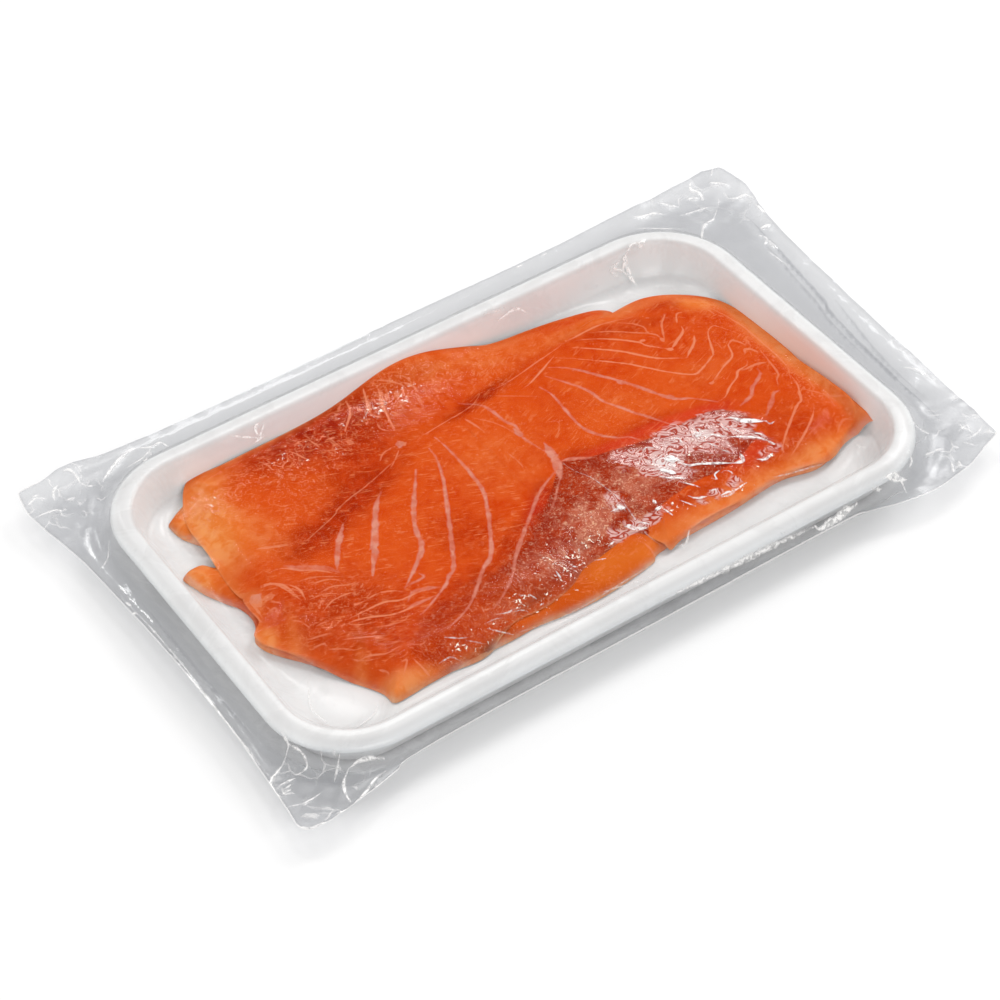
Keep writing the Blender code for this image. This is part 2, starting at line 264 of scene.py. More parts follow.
class Paint:                                       # one material under construction
    def __init__(self, name):
        self.material = bpy.data.materials.new(name)
        self.material.use_nodes = True
        self.tree = self.material.node_tree
        self.tree.nodes.clear()
        self.place = self.node("ShaderNodeTexCoord", {}, {}, "Object")

    def node(self, kind, settings=None, sockets=None, output=0):
        made = self.tree.nodes.new(kind)
        for key, value in (settings or {}).items():
            setattr(made, key, value)
        for key, value in (sockets or {}).items():
            target = made.inputs[key]
            if isinstance(value, Wire):
                self.tree.links.new(value.socket, target)
            elif isinstance(value, (int, float)) and target.type in ("RGBA", "VECTOR"):
                target.default_value = (value, value, value, 1.0)[:len(target.default_value)]
            elif isinstance(value, (tuple, list)) and target.type == "RGBA":
                target.default_value = (*value[:3], 1.0)
            else:
                target.default_value = value
        return Wire(self, made.outputs[output]) if len(made.outputs) else made

    def blend(self, share, a, b, mode="MIX"):      # mix of two colours
        settings = {"data_type": "RGBA", "blend_type": mode, "clamp_factor": True}
        return self.node("ShaderNodeMix", settings, {0: share, 6: a, 7: b}, 2)

    def mask(self, name):
        return self.node("ShaderNodeAttribute", {"attribute_name": name}, {}, "Fac")

    def noise(self, scale, detail=3.0, rough=0.5, warp=0.0, place=None):
        sockets = {"Vector": place or self.place, "Scale": scale, "Detail": detail,
                   "Roughness": rough, "Distortion": warp}
        return self.node("ShaderNodeTexNoise", {}, sockets)

    def cells(self, scale, feature="DISTANCE_TO_EDGE", place=None):
        sockets = {"Vector": place or self.place, "Scale": scale}
        return self.node("ShaderNodeTexVoronoi", {"feature": feature}, sockets)

    def spread(self, value, low, high, toLow=0.0, toHigh=1.0):
        sockets = {"Value": value, "From Min": low, "From Max": high, "To Min": toLow, "To Max": toHigh}
        return self.node("ShaderNodeMapRange", {"clamp": True, "interpolation_type": "SMOOTHSTEP"}, sockets)

    def line(self, name, soft=0.07, ragged=0.07):  # a drawn line with crisp, slightly ragged sides
        return self.spread(self.mask(name) + (self.noise(1500.0, 1.0) - 0.5) * ragged, 0.5 - soft, 0.5 + soft)

    def curls(self, scale, turns, warp=0.0, place=None):   # contour lines of a noise, from 0 to 1 and back
        field = self.noise(scale, 1.0, 0.5, warp, place) * turns
        return self.node("ShaderNodeMath", {"operation": "PINGPONG"}, {0: field, 1: 1.0})

    def stretched(self, stretch, degrees):         # the place, drawn out along one direction
        turn = {"Vector": self.place, "Angle": math.radians(-degrees)}
        along = self.node("ShaderNodeVectorRotate", {"rotation_type": "Z_AXIS"}, turn)
        return along * (1 / stretch, 1.0, 1.0)

    def hairs(self, scale, stretch, degrees, fine=0.035):  # thin lines that run one way
        field = self.noise(scale, 2.0, 0.5, 0.4, self.stretched(stretch, degrees)) - 0.5
        away = self.node("ShaderNodeMath", {"operation": "ABSOLUTE"}, {0: field})
        return self.spread(away, 0.0, fine, 1.0, 0.0)

    def bump(self, height, strength, distance, under=None):
        sockets = {"Height": height, "Strength": strength, "Distance": distance}
        if under is not None:
            sockets["Normal"] = under
        return self.node("ShaderNodeBump", {}, sockets)

    def finish(self, shader):
        self.node("ShaderNodeOutputMaterial", {}, {"Surface": shader})
        return self.material


def tone(red, green, blue):                        # a display colour as the linear one that shaders take
    parts = (red, green, blue)
    return tuple(c / 255 / 12.92 if c <= 10 else ((c / 255 + 0.055) / 1.055) ** 2.4 for c in parts)


studio = {
    "cameraPlace": (-0.301558, -0.475265, 0.557226),
    "cameraAxes": ((0.82821, -0.55918, -0.03720), (0.41580, 0.56863, 0.70977), (-0.37574, -0.60331, 0.70345)),
    "lens": 102.88,
    "floorDrop": 0.0003,                           # m below the tray's base, clear of the film
    "floorSize": 6.0,
    "floorColour": (0.88, 0.88, 0.88),
    "worldColour": (0.985, 0.985, 0.99),
    "worldStrength": 0.58,
    "lamps": {                                     # elevation, azimuth, distance, size, radiance, colour
        "farKey": (60, 62, 1.3, (0.36, 0.36), 7.2, (1.0, 0.99, 0.975)),
        "farStrip": (38, 100, 1.4, (0.12, 0.4), 12.0, (1.0, 0.99, 0.98)),
        "rightPanel": (42, 18, 1.5, (0.5, 0.5), 9.6, (1.0, 0.995, 0.99)),
        "leftStrip": (35, 190, 1.4, (0.10, 0.5), 7.0, (0.98, 0.99, 1.0)),
        "nearFill": (40, 255, 1.6, (1.0, 0.6), 4.2, (1.0, 0.995, 0.99)),
    },
}


def makeStudio():
    scene = bpy.context.scene
    scene.view_settings.view_transform = "Standard"
    scene.cycles.transparent_max_bounces = 24      # the film lies in several layers
    scene.cycles.diffuse_bounces = 2               # enough for the pale tray, and quicker
    camera = bpy.data.objects.new("camera", bpy.data.cameras.new("camera"))
    axes = Matrix([list(axis) for axis in studio["cameraAxes"]]).transposed().to_4x4()
    camera.matrix_world = Matrix.Translation(studio["cameraPlace"]) @ axes
    camera.data.lens = studio["lens"]
    camera.data.sensor_width = 36.0
    camera.data.clip_start = 0.01
    scene.collection.objects.link(camera)
    scene.camera = camera
    half = studio["floorSize"] / 2
    mesh = bpy.data.meshes.new("floor")
    corners = [(-half, -half), (half, -half), (half, half), (-half, half)]
    mesh.from_pydata([(x, y, -studio["floorDrop"]) for x, y in corners], [], [(0, 1, 2, 3)])
    paint = Paint("floorPaint")
    white = paint.node("ShaderNodeBsdfDiffuse", {}, {"Color": studio["floorColour"]})
    mesh.materials.append(paint.finish(white))
    floor = bpy.data.objects.new("floor", mesh)
    scene.collection.objects.link(floor)
    world = bpy.data.worlds.new("studio")
    world.use_nodes = True
    back = world.node_tree.nodes["Background"]
    back.inputs["Color"].default_value = (*studio["worldColour"], 1)
    back.inputs["Strength"].default_value = studio["worldStrength"]
    scene.world = world
    for name, settings in studio["lamps"].items():
        elevation, azimuth, distance, size, radiance, colour = settings
        data = bpy.data.lights.new(name, "AREA")
        data.shape = "RECTANGLE"
        data.size, data.size_y = size
        data.energy = radiance * math.pi * size[0] * size[1]     # watts that give this radiance
        data.color = colour
        lamp = bpy.data.objects.new(name, data)
        e, a = math.radians(elevation), math.radians(azimuth)
        toLamp = Vector((math.cos(e) * math.cos(a), math.cos(e) * math.sin(a), math.sin(e)))
        lamp.location = toLamp * distance
        lamp.rotation_euler = toLamp.to_track_quat("Z", "Y").to_euler()
        scene.collection.objects.link(lamp)


makeStudio()
print("studio made")


tray = {
    "corner": 25.5,
    # distance in from the rim's outer edge, height
    "profile": (
        (8.3, 0), (7.2, 0.4), (6.5, 1.5), (5.3, 5.5), (4.1, 9.6), (3.3, 10.5), (2.4, 10.9), (1.2, 11),
        (0.35, 11), (0, 11.35), (0.2, 11.9), (0.7, 12.35), (1.3, 12.7), (2.8, 13.5), (4.15, 13.95),
        (5.35, 13.95), (6.15, 13.3), (6.75, 11.8), (7.45, 9.1), (8.8, 3.8), (9.5, 2.76), (10.7, 2.2),
    ),
    "upperFrom": 10,                               # the profile's first point on the upper side
    "floorHeight": 2.2,
    "cornerSteps": 26,
    "sideSteps": 52,
    "colour": (0.785, 0.783, 0.78),                # rim and floor
    # painted light: the walls are painted lighter than the rim and floor of the same white plastic
    "wallPaintedLightColour": (0.9, 0.914, 0.912),
    "roughness": 0.38,
    "paintedBounces": ((0.35, 94.8, -12, 2.0, 22, 0),),    # painted reflected light: warm light off the salmon on the right wall
    "paintedBounceColour": (236, 160, 118),
    "grain": 2600.0,
    "grainDepth": 0.00003,                         # m
}


def traySection():                                 # the profile made smooth, underside first
    return smoothCurve(tray["profile"], 0.42)


def trayRing(inset):
    long, wide = trayHigh[0] - inset, trayHigh[1] - inset
    radius = tray["corner"] - inset
    ring = []
    for quarter in range(4):
        sx, sy = ((1, -1), (1, 1), (-1, 1), (-1, -1))[quarter]
        centre = np.array((sx * (long - radius), sy * (wide - radius)))
        first = math.radians(-90 + 90 * quarter)
        for step in range(tray["cornerSteps"] + 1):
            turn = first + math.radians(90) * step / tray["cornerSteps"]
            ring.append(centre + radius * np.array((math.cos(turn), math.sin(turn))))
        ahead = ((1, 1), (-1, 1), (-1, -1), (1, -1))[quarter]
        after = np.array((ahead[0] * (long - radius), ahead[1] * (wide - radius)))
        turn = first + math.radians(90)
        corner = after + radius * np.array((math.cos(turn), math.sin(turn)))
        count = tray["sideSteps"] if quarter % 2 == 1 else tray["sideSteps"] // 2
        begin = ring[-1]
        for step in range(1, count):
            ring.append(begin + (corner - begin) * step / count)
    return np.array(ring)


def rimInset(x, y):                                # distance in from the rim's outer edge, negative outside
    qx = np.abs(x) - (trayHigh[0] - tray["corner"])
    qy = np.abs(y) - (trayHigh[1] - tray["corner"])
    outside = np.hypot(np.maximum(qx, 0), np.maximum(qy, 0))
    return tray["corner"] - outside - np.minimum(np.maximum(qx, qy), 0)


def trayTop(inset):                                # height of the tray's upper side at an inset
    upper = np.array(tray["profile"][tray["upperFrom"]:])
    return np.interp(inset, upper[:, 0], upper[:, 1])


def makeTray():
    paint = Paint("moulded white")
    fine = paint.noise(tray["grain"], 2.0, 0.6)
    broad = paint.noise(28.0, 2.0)
    # painted light: walls lighter than the rim and floor
    colour = paint.blend(paint.mask("wall"), tray["colour"], tray["wallPaintedLightColour"])
    dusty = tuple(0.2 * part for part in tray["colour"])
    colour = paint.blend(paint.spread(broad, 0.3, 0.7) * 0.03, colour, dusty)
    # painted reflected light: warm glow off the salmon on the right wall
    colour = paint.blend(paint.mask("stain"), colour, tone(*tray["paintedBounceColour"]))
    grain = paint.bump(fine, 0.35, tray["grainDepth"])
    slow = paint.bump(paint.noise(90.0, 2.0), 0.25, 0.0004, grain)
    rough = paint.spread(fine, 0.2, 0.8, tray["roughness"] - 0.06, tray["roughness"] + 0.08)
    surface = paint.node("ShaderNodeBsdfPrincipled", {}, {
        "Base Color": colour, "Roughness": rough, "Normal": slow, "Specular IOR Level": 0.4,
        "Subsurface Weight": 0.12, "Subsurface Radius": (1.0, 0.95, 0.9), "Subsurface Scale": 0.0015})
    section = traySection()
    rings = [trayRing(inset) for inset, _ in section]
    count = len(rings[0])
    places = np.vstack([np.column_stack([ring, np.full(count, z)]) for ring, (_, z) in zip(rings, section)])
    faces = []
    for row in range(len(rings) - 1):
        a, b = row * count, (row + 1) * count
        faces += [(a + i, a + (i + 1) % count, b + (i + 1) % count, b + i) for i in range(count)]
    flats = ((rings[0], 0.0, True, 0), (rings[-1], tray["floorHeight"], False, (len(rings) - 1) * count))
    for ring, z, bottom, at in flats:
        plan, fill = fillOutline(ring, gridPoints(ring, 5.0, 2.5), bottom)
        index = np.arange(len(plan))
        index = index + np.where(index < count, at, len(places) - count)
        faces += index[fill].tolist()
        places = np.vstack([places, np.column_stack([plan[count:], np.full(len(plan) - count, z)])])
    height = places[:, 2]
    masks = {"wall": ease((height - 2.6) / 1.6) * ease((13.4 - height) / 1.4),
             "stain": drawBlobs(places[:, 0], places[:, 1], tray["paintedBounces"])}
    piece = buildPiece("tray_shell", places, faces, paint.finish(surface), masks)
    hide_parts("tray")


makeTray()
print("tray made")


salmon = {
    "step": 0.4,                                   # mm between mesh points
    "underOutline": (
        -91.8, 25, -91, 21.7, -89.6, 16.8, -86.6, 10.4, -84.8, 7.2, -84, 2.8, -84.7, -1, -87, -4.6, -87.6,
        -7.4, -85.8, -12.4, -79, -22.6, -72.4, -35.2, -69.2, -41, -69, -45.3, -60, -45.2, -46, -45, -32,
        -45.2, -24, -45, -12, -46.4, 0, -46.3, 14, -44.3, 19, -42, 42, -41, 61, -39.4, 73.6, -41.6, 86, -37,
        92, -33, 93, -20, 92.4, 0, 91.6, 20, 87.4, 31, 77, 40, 60, 44.4, 40, 47.4, 25, 49.4, 10, 51.8, -20,
        52.8, -50, 53, -69, 52.2, -75, 51, -80.5, 48.6, -84.4, 46.2, -85, 45.6, -84.9, 42, -84.2, 38.8,
        -82.6, 35.6, -81.2, 32.6, -81.4, 27, -82.4, 23.6, -85, 26.6, -88.6, 27, -91.2, 26,
    ),
    "crease": (
        -83.2, 7.4, -76, 8, -70, 9.4, -63.5, 11.6, -47, 18, -30.5, 25.2, -16.5, 31.6, 2.5, 33.2, 18, 36.4,
        34.5, 38.8, 46, 40.2, 56, 41.8, 63.6, 43.2,
    ),
    "farSide": (
        60, 47.8, 50, 50.8, 40, 52.4, 27, 53.2, 19.6, 55.4, 9.5, 57.4, -4, 57.2, -15, 57, -28, 56, -46,
        54.8, -62, 54.6, -69, 55.6, -73.2, 55.2, -76, 52.4, -78.6, 48, -80.8, 43.6, -82, 38, -82.2, 33,
        -82.4, 27.5, -83.2, 21, -83.9, 13,
    ),
    "nearSide": (
        -83.8, 3, -83.8, -2, -86.2, -4.2, -87.6, -6.2, -87.2, -9.6, -85, -13.4, -81.6, -19, -78.5, -25, -75,
        -31.5, -71.4, -37.4, -69.6, -41.2, -68.8, -45.2, -64, -45.4, -58.6, -45, -51.6, -44.8, -44.6, -45.8,
        -40, -45.6, -34, -43.6, -28, -42, -21.7, -42.4, -16, -42, -9, -40, -3, -36.8, 3, -35.8, 10, -34.4,
        15, -33.4, 17.4, -36, 18.6, -39.6, 20.6, -43, 24, -42.6, 34, -41, 48, -40.9, 57, -40, 66, -40.4, 74,
        -42, 79, -41.2, 84, -39, 88.5, -37.6, 92, -37.4, 95.4, -39.2, 97.4, -37.6, 96.8, -22, 96, 0, 95, 16,
        92.4, 29.6, 84.6, 38.4, 75, 43.4,
    ),
    "creaseGap": 0.01,                             # half the gap between the two upper slices
    "layerGap": 0.03,                              # between a slice and what it lies on
    "underEdge": 0.25,                             # thickness of the slice underneath at its outline
    "underThinning": 4.5,                          # and the width over which it rounds off
    # how far an overhanging edge sinks, and over what width
    "droop": {"near": (3.0, 1.3), "far": (1.6, 5.0)},
    "edgeThickness": 0.16,
    "thickness": 3.4,                              # of the upper slices
    "thinning": 11.0,                              # width over which they thin to their edge
    "valley": ((-80, 0), (-52, 0.1), (-22, 0.42), (20, 0.42), (40, 0.25), (56, 0)),     # x, crease depth
    "valleyReach": 6.5,
    # how far the slices climb the tray's far wall: height, middle x, half width, first y, depth
    "wallClimbs": ((6.9, -2.0, 21.0, 46.5, 10.0), (1.6, -54.0, 24.0, 47.0, 9.0)),
    # and its right wall: height, middle y, half width, first x, depth
    "endClimbs": ((4.5, -34.0, 28.0, 90.0, 4.5),),
    "relief": 0.22,                                # mm of unevenness
    "tones": {                                     # display colours
        "fleshDeep": (208, 65, 12), "flesh": (218, 80, 21), "fleshLight": (230, 104, 42),
        "mottle": (232, 108, 44), "darkDeep": (150, 26, 4), "dark": (182, 48, 12), "rosy": (222, 62, 44),
        "pale": (242, 134, 58), "paleLight": (252, 176, 110), "peach": (236, 142, 86),
        "amberDeep": (206, 88, 20), "amber": (222, 112, 38), "hair": (238, 140, 88),
        "lace": (244, 154, 120), "fleck": (248, 172, 124), "crossed": (236, 138, 92),
        "skinDeep": (142, 32, 9), "skin": (168, 52, 20), "skinPale": (214, 142, 116),
        "skinCurl": (230, 164, 136), "skinFleck": (250, 204, 168), "silverDeep": (176, 62, 42),
        "silver": (236, 194, 188), "silverCore": (252, 244, 242), "vein": (240, 146, 106),
        "thinFat": (236, 146, 106), "wideFatDeep": (214, 128, 106), "wideFat": (226, 152, 130),
        "dot": (248, 184, 148), "brown": (104, 58, 42), "rim": (230, 124, 62), "edge": (250, 200, 150),
        "wash": (120, 14, 0),
    },
}

# fat lines of the flesh: width, strength, then points
wideFat = (
    (1.6, 0.9, -48, 13, -54, 6, -58.5, -1), (1.8, 1, -33, 17.5, -37, 13.5, -43, 4.5, -52, -8.5),
    (1.4, 1, -20.5, 19, -31.5, 3, -35.5, -7, -40, -11.5, -47.5, -17.5),
    (1.1, 1, -13, 24, -14, 18, -18.5, 7.5, -31.5, -16.5, -35.5, -20.5, -38.5, -23, -46.5, -27, -49.5, -28),
    (1.1, 1, -9, 27.5, -9, 15, -9.5, 6, -11, -1, -17, -12.5, -22.5, -21, -27, -24, -35.5, -31.5, -41, -34.5,
     -46, -36), (1, 0.8, 12, -3.5, 3, -8, -4, -13.5, -16, -24, -21.5, -30, -27, -34, -32, -36.5),
    (1.6, 1, 10.5, 16.5, 10.5, 12), (0.8, 0.8, 4.5, 35.5, 9, 30.5, 10, 21, 11.5, 17, 10.5, 12, 12.5, 2.5),
    (2.4, 1, 14, 6.5, 12.5, -2, 11, -5.5), (1.9, 1, 12.5, -1, 11, -4.5, 9.5, -8),
    (0.65, 0.8, 9.5, -7.5, 2.5, -14.5, -1, -17), (1, 0.8, 13.5, -2, 16.5, -3, 22, -6.5),
    (0.85, 0.9, 26, 26.5, 27, 21, 26, 7.5, 27.5, 1.5, 31.5, -3.5, 34.5, -5.5, 36.5, -9.5),
    (0.8, 0.8, 30, 29.5, 36, 17.5, 37, 11, 40, 5, 43, -1, 48.5, -11),
    (0.95, 0.9, 33, 32, 38.5, 26.5, 46, 14.5, 52.5, 2, 55, -1, 58, -3, 63, -8.5),
    (1.6, 0.8, 45, 15.5, 46.5, 13), (1.6, 0.8, 52.5, 2, 54.5, 0),
    (1.2, 0.7, 80, -15, 78, -15, 75.5, -17, 70.5, -21),
    (1.1, 0.7, 80.5, -4, 79.5, -6.5, 74.5, -9.5, 72, -12, 67, -13.5), (3.2, 0.6, -82.5, 4.5, -79, 5),
    (1.9, 0.5, -69.5, 9, -66.5, 5.5, -61, 1.5, -58.5, -2),
    (1.1, 0.8, -49.5, -22, -46.5, -20, -43, -21, -40, -22.5), (0.95, 0.6, -51, -24, -42.5, -24.5),
    (0.8, 0.8, -47.5, -17, -41.5, -17, -41.5, -15), (2.3, 0.9, -19, 32, -17, 31),
)
thinFat = (
    (0.4, 0.6, -63.5, 12, -49, 17, -46, 19, -40.5, 21, -34.5, 22.5, -20.5, 27.5, -17, 30.5),
    (0.4, 0.6, -16.5, 31, -11.5, 30.5, 3, 32, 8, 33, 12, 35.5),
    (0.45, 0.6, 12, 35.5, 18.5, 34.5, 36, 37, 44, 38.5), (0.55, 0.7, 40, 38.5, 59, 38, 63.5, 36.5, 67, 36),
    (0.65, 0.8, 22, 29, 26, 30, 37.5, 35.5), (0.55, 0.6, 2, 29.5, 3, 20.5),
    (0.45, 0.4, 4, 27.5, 8.5, 19, 10, 13.5), (0.45, 0.4, 3.5, 10.5, 4, 3.5, 3, 0.5),
    (0.45, 0.4, 13, 33, 18, 28, 24, 23), (0.4, 0.4, 19, 13.5, 22, 11, 18.5, 6.5),
    (0.6, 0.8, 36.5, 35, 50, 21.5, 54.5, 16, 59, 10, 64, 5, 67, 5, 72.5, 7.5, 74.5, 9, 78, 16, 80.5, 18,
     82.5, 17, 86, 9.5), (0.65, 0.8, 43, 35.5, 53.5, 25, 60, 16.5, 67, 11.5),
    (1, 0.8, 67, 11.5, 72.5, 15.5, 74.5, 18),
    (0.6, 0.8, 46, 37, 50, 34.5, 56.5, 29, 60, 25, 61, 22.5, 65.5, 17), (1.2, 0.7, 60.5, 25.5, 62, 24.5),
    (1.2, 0.8, 64.5, 18, 66, 16.5), (1.1, 0.6, 66, 23, 66, 21),
    (0.55, 0.6, 50.5, 37.5, 56.5, 33.5, 65, 26, 66, 23.5, 66, 21),
    (0.55, 0.5, 59.5, 37, 63.5, 32.5, 65, 29.5, 64.5, 27, 66, 24),
    (0.6, 0.6, 66.5, 21.5, 69.5, 27, 71.5, 29, 74, 31), (0.8, 0.8, 65.5, 17, 72.5, 21, 74, 23.5),
    (0.6, 0.7, 73.5, 25, 76, 28.5, 78, 28), (0.45, 0.4, 77.5, 21.5, 78, 23, 79.5, 24),
    (0.75, 0.5, 85.5, 26, 88.5, 16.5, 89, 8.5, 88.5, -6, 86.5, -11), (0.45, 0.5, 84.5, 25, 85, 21.5),
    (0.45, 0.5, 67.5, 38.5, 66.5, 41.5), (0.6, 0.8, 82, 10, 80, 9, 78, 4.5, 73.5, 2.5, 66, -1.5),
    (0.6, 0.6, 80, 9, 82, 10, 83, 8.5, 84, 5.5), (0.85, 0.6, 81.5, 3, 82.5, 4.5, 84, 3.5, 85, 1),
    (0.6, 0.8, 63, -8.5, 66, -8, 69.5, -5.5, 73.5, -3.5, 75.5, -1.5, 79, -1, 80.5, 1),
    (1.1, 0.6, 76.5, -2, 82, -2.5, 84, -3.5), (1.1, 0.6, 65.5, -1, 67, -1.5),
    (0.55, 0.6, 86, 2, 85, -4, 84, -9, 82, -11, 80.5, -14),
    (0.75, 0.7, 86.5, -11, 85.5, -16, 83.5, -19.5, 82, -22, 79, -23.5, 67, -33, 67, -36),
    (0.6, 0.7, 84, -25.5, 80.5, -29, 74.5, -33, 67, -36.5), (0.55, 0.5, 85, -18, 90.5, -24.5, 93, -29),
    (0.55, 0.4, 90, -15, 88.5, -20), (0.55, 0.4, 83.5, -36.5, 86, -34.5, 88.5, -33.5, 91, -35),
    (0.7, 0.8, -21.5, 54.5, -23, 49.5, -28.5, 43.5), (0.9, 0.8, -15.5, 54.5, -19, 44.5),
    (0.7, 0.8, -12, 54, -12.5, 50.5, -14.5, 45.5, -16.5, 36), (0.5, 0.7, -7.5, 50, -9.5, 44.5, -10.5, 39),
    (0.5, 0.7, -12.5, 55, -6, 50, -5, 47), (0.6, 0.7, -5.5, 50.5, -3, 48, -3, 44.5),
    (0.4, 0.6, -3.5, 44.5, -5.5, 37.5), (0.4, 0.6, -19, 42, -19.5, 39, -17.5, 36.5),
    (1.6, 0.5, -30, 40, -29, 38), (1.8, 0.6, -17.5, 32.5, -17, 30),
    (0.4, 0.7, -18.5, 30.5, -24, 25.5, -26.5, 24), (0.4, 0.6, -18.5, 31.5, -23.5, 31, -27, 28),
    (0.5, 0.7, -45, 46, -42.5, 39.5), (0.5, 0.7, -38.5, 48, -37.5, 42), (0.4, 0.7, -33.5, 45, -32.5, 37),
    (0.4, 0.6, -34, 43, -33.5, 39.5), (0.5, 0.7, -54, 47, -53, 44.5, -53, 42),
    (0.4, 0.6, -35, 36.5, -32.5, 35), (0.4, 0.6, -44.5, 48.5, -41.5, 48, -41, 45),
    (0.4, 0.6, -6, 52.5, -3.5, 51, -2.5, 48.5), (0.4, 0.5, 5, 54.5, 5.5, 51.5, 6.5, 49.5),
    (2.4, 0.6, -81, 7, -81, 1.5), (1.6, 0.5, -79.5, 3, -76.5, 1.5), (0.6, 0.7, -82, 7.5, -82.5, -2.5),
    (0.6, 0.8, -78, 7.5, -75.5, 5.5, -73, 2.5, -72, -3), (0.5, 0.8, -72.5, 3, -70.5, -1, -71, -5.5),
    (1, 0.5, -72, 18.5, -64, 14.5), (0.55, 0.7, -74, 9, -70, 8, -66.5, 4.5, -62.5, 1.5, -59, -2.5),
    (0.45, 0.6, -69.5, 1.5, -64.5, 0, -58.5, -4), (0.45, 0.6, -68.5, -1.5, -62.5, -2.5, -59, -6),
    (0.45, 0.7, -67.5, -5.5, -63, -5.5, -59, -7.5, -56, -8), (0.4, 0.6, -70.5, -6, -66, -6.5, -62.5, -9),
    (0.45, 0.7, -70, -12, -65.5, -10, -61.5, -10, -58, -11),
    (0.6, 0.8, -66, -18, -55.5, -18.5, -50.5, -20.5, -44.5, -21, -41, -22.5),
    (0.6, 0.8, -69, -19.5, -65, -19.5, -60.5, -21, -55.5, -23.5, -49.5, -24.5, -45.5, -24),
    (0.5, 0.7, -59, -15, -54.5, -15, -50.5, -16.5, -48, -19),
    (0.4, 0.6, -67.5, -18.5, -64.5, -21.5, -59.5, -23.5), (0.45, 0.6, -78, -16.5, -71.5, -19.5),
    (0.5, 0.7, -70.5, -23, -60.5, -29), (0.4, 0.6, -75, -22.5, -71.5, -25.5, -69.5, -28),
    (0.5, 0.7, -71, -30.5, -67.5, -31.5, -63.5, -34, -59, -34),
    (0.7, 0.6, -78, -19.5, -75, -20.5, -74.5, -22), (0.4, 0.6, -72, -28.5, -69.5, -31.5, -65.5, -34),
    (0.4, 0.6, -78, -9, -76, -11.5, -75, -15.5), (0.4, 0.6, -74, -15, -68.5, -15.5),
    (0.4, 0.6, -64.5, -28.5, -62.5, -31.5, -58, -32.5),
    (0.45, 0.6, -61, -25, -57.5, -26.5, -53.5, -27, -51.5, -25.5),
    (0.5, 0.6, -63, -38.5, -60.5, -38.5, -63.5, -41.5), (0.6, 0.7, -59, -38.5, -57, -45),
    (0.5, 0.6, -68, -36, -66.5, -38, -66.5, -39.5), (0.45, 0.6, -80.5, -1.5, -78.5, -2, -79.5, -5),
    (0.6, 0.7, -78, 6.5, -75, 5, -73.5, 1.5, -72, -5), (0.6, 0.5, -83.5, 1.5, -83.5, -4),
    (0.6, 0.5, -78.5, 1, -76.5, -2), (0.4, 0.5, -80, 0.5, -79.5, -3),
)
creamPatches = (                                   # where the outline shows as a pale cut edge, partly a painted highlight of the film along it
    (1, -18, 57, 30, 4, 0), (0.9, -52, 55, 18, 4, 0), (1, 0, -45, 24, 3, 0), (0.8, -38, -46, 12, 3, 0),
    (0.5, 20, 53, 16, 4, 0), (0.7, -86, 34, 4, 14, 0), (0.5, -64, -46, 8, 3, 0),
)
edgeFat = (                                        # bright cut edges in the slice underneath
    (0.8, 0.6, -65, -45, -63, -42, -60.5, -40), (0.9, 0.6, -58.5, -46, -58.5, -43.5, -57, -40.5),
    (0.8, 0.5, 15.5, -38, 16.5, -44.5),
)

# colour patches: strength, x, y, half width, half height, turn
# partly painted shade: the patches along the crease are its valley's shade, the rest deep red flesh
darkPatches = (
    (1, -36, 50, 24, 7, 3), (0.8, -31, 43, 22, 8, 4), (0.5, -30, 33, 20, 6, 22),
    (0.85, -40, 19.5, 21, 6, 24), (0.6, -60, 13, 9, 6, 20), (0.6, -66, -16, 17, 15, -30),
    (0.35, -60, -33, 12, 10, -20), (0.85, 10, 33.6, 13, 2.6, 10), (0.7, -3, -14.5, 9, 3.2, 40),
    (0.8, 3, -9.5, 5, 3.2, 48), (0.6, -13, -18.5, 9, 2.6, 32), (0.45, -30, -24, 10, 3, 4),
    (0.45, 40, -5.6, 16, 4, -6), (0.4, 60, 33, 14, 3.5, -20), (0.45, 76, 34.2, 5, 3, -20),
    (0.35, 72, -28, 12, 9, 30), (0.6, 45, -28, 6, 3.5, -30), (0.45, 56, -31, 10, 4, 0),
    (0.3, 60, -12, 8, 6, 0), (0.5, 36, -34, 9, 2.4, -6), (0.5, 20, -3.6, 9, 3, -25),
    (0.4, -42, -29, 7, 5, 30), (0.35, -22, -12, 12, 9, -50),
)
palePatches = (
    (1, -79, 33, 9, 16, -12), (0.6, -74, 47, 11, 6, 25), (0.9, -88, 40, 5, 6, 0), (0.95, -90, 20, 5, 8, 0),
    (0.3, -70, 24, 8, 11, 10), (0.8, -86, -9, 3.4, 5, 10), (0.6, 45, -40, 30, 4, 2),
    (0.6, 78, -39.6, 14, 4, 4), (0.7, 92.6, 0, 4, 32, 0), (0.18, 22, 46, 16, 6, -12),
    (0.2, 4, 51, 14, 5, -5), (0.12, 0, 8, 13, 14, 60), (0.08, 34, 9, 10, 9, 0), (0.7, 84, 30, 6, 4.5, -45),
    (0.3, 58, 40.6, 24, 3.2, -3), (0.6, -62, -43.6, 8, 2.6, 0), (0.1, 46, 4, 8, 6, 0),
    (0.12, 66, 4, 9, 6, 0), (0.3, -82, -17, 2, 11, -28), (0.25, -73, -36, 2, 11, -32),
    (0.9, -67, -44, 7, 3, 0), (0.5, -44, -45.5, 12, 2, 0),
)
peachPatches = (
    (0.45, 91, 8, 4, 17, 0), (0.6, 94, -34, 3, 5, 0), (0.25, 26, -40.6, 9, 3.4, 0),
    (0.2, 70, 41, 10, 2.2, -12), (0.3, 82, 37, 6, 2.4, -38), (0.25, 89, 27, 3.4, 5, -30),
    (0.25, 30, 49, 10, 2.2, -8), (0.6, -66, -41.5, 8, 2.4, -10), (0.2, -80, -18, 2, 6, -28),
    (0.45, -81, 4, 2.4, 4, 0),
)
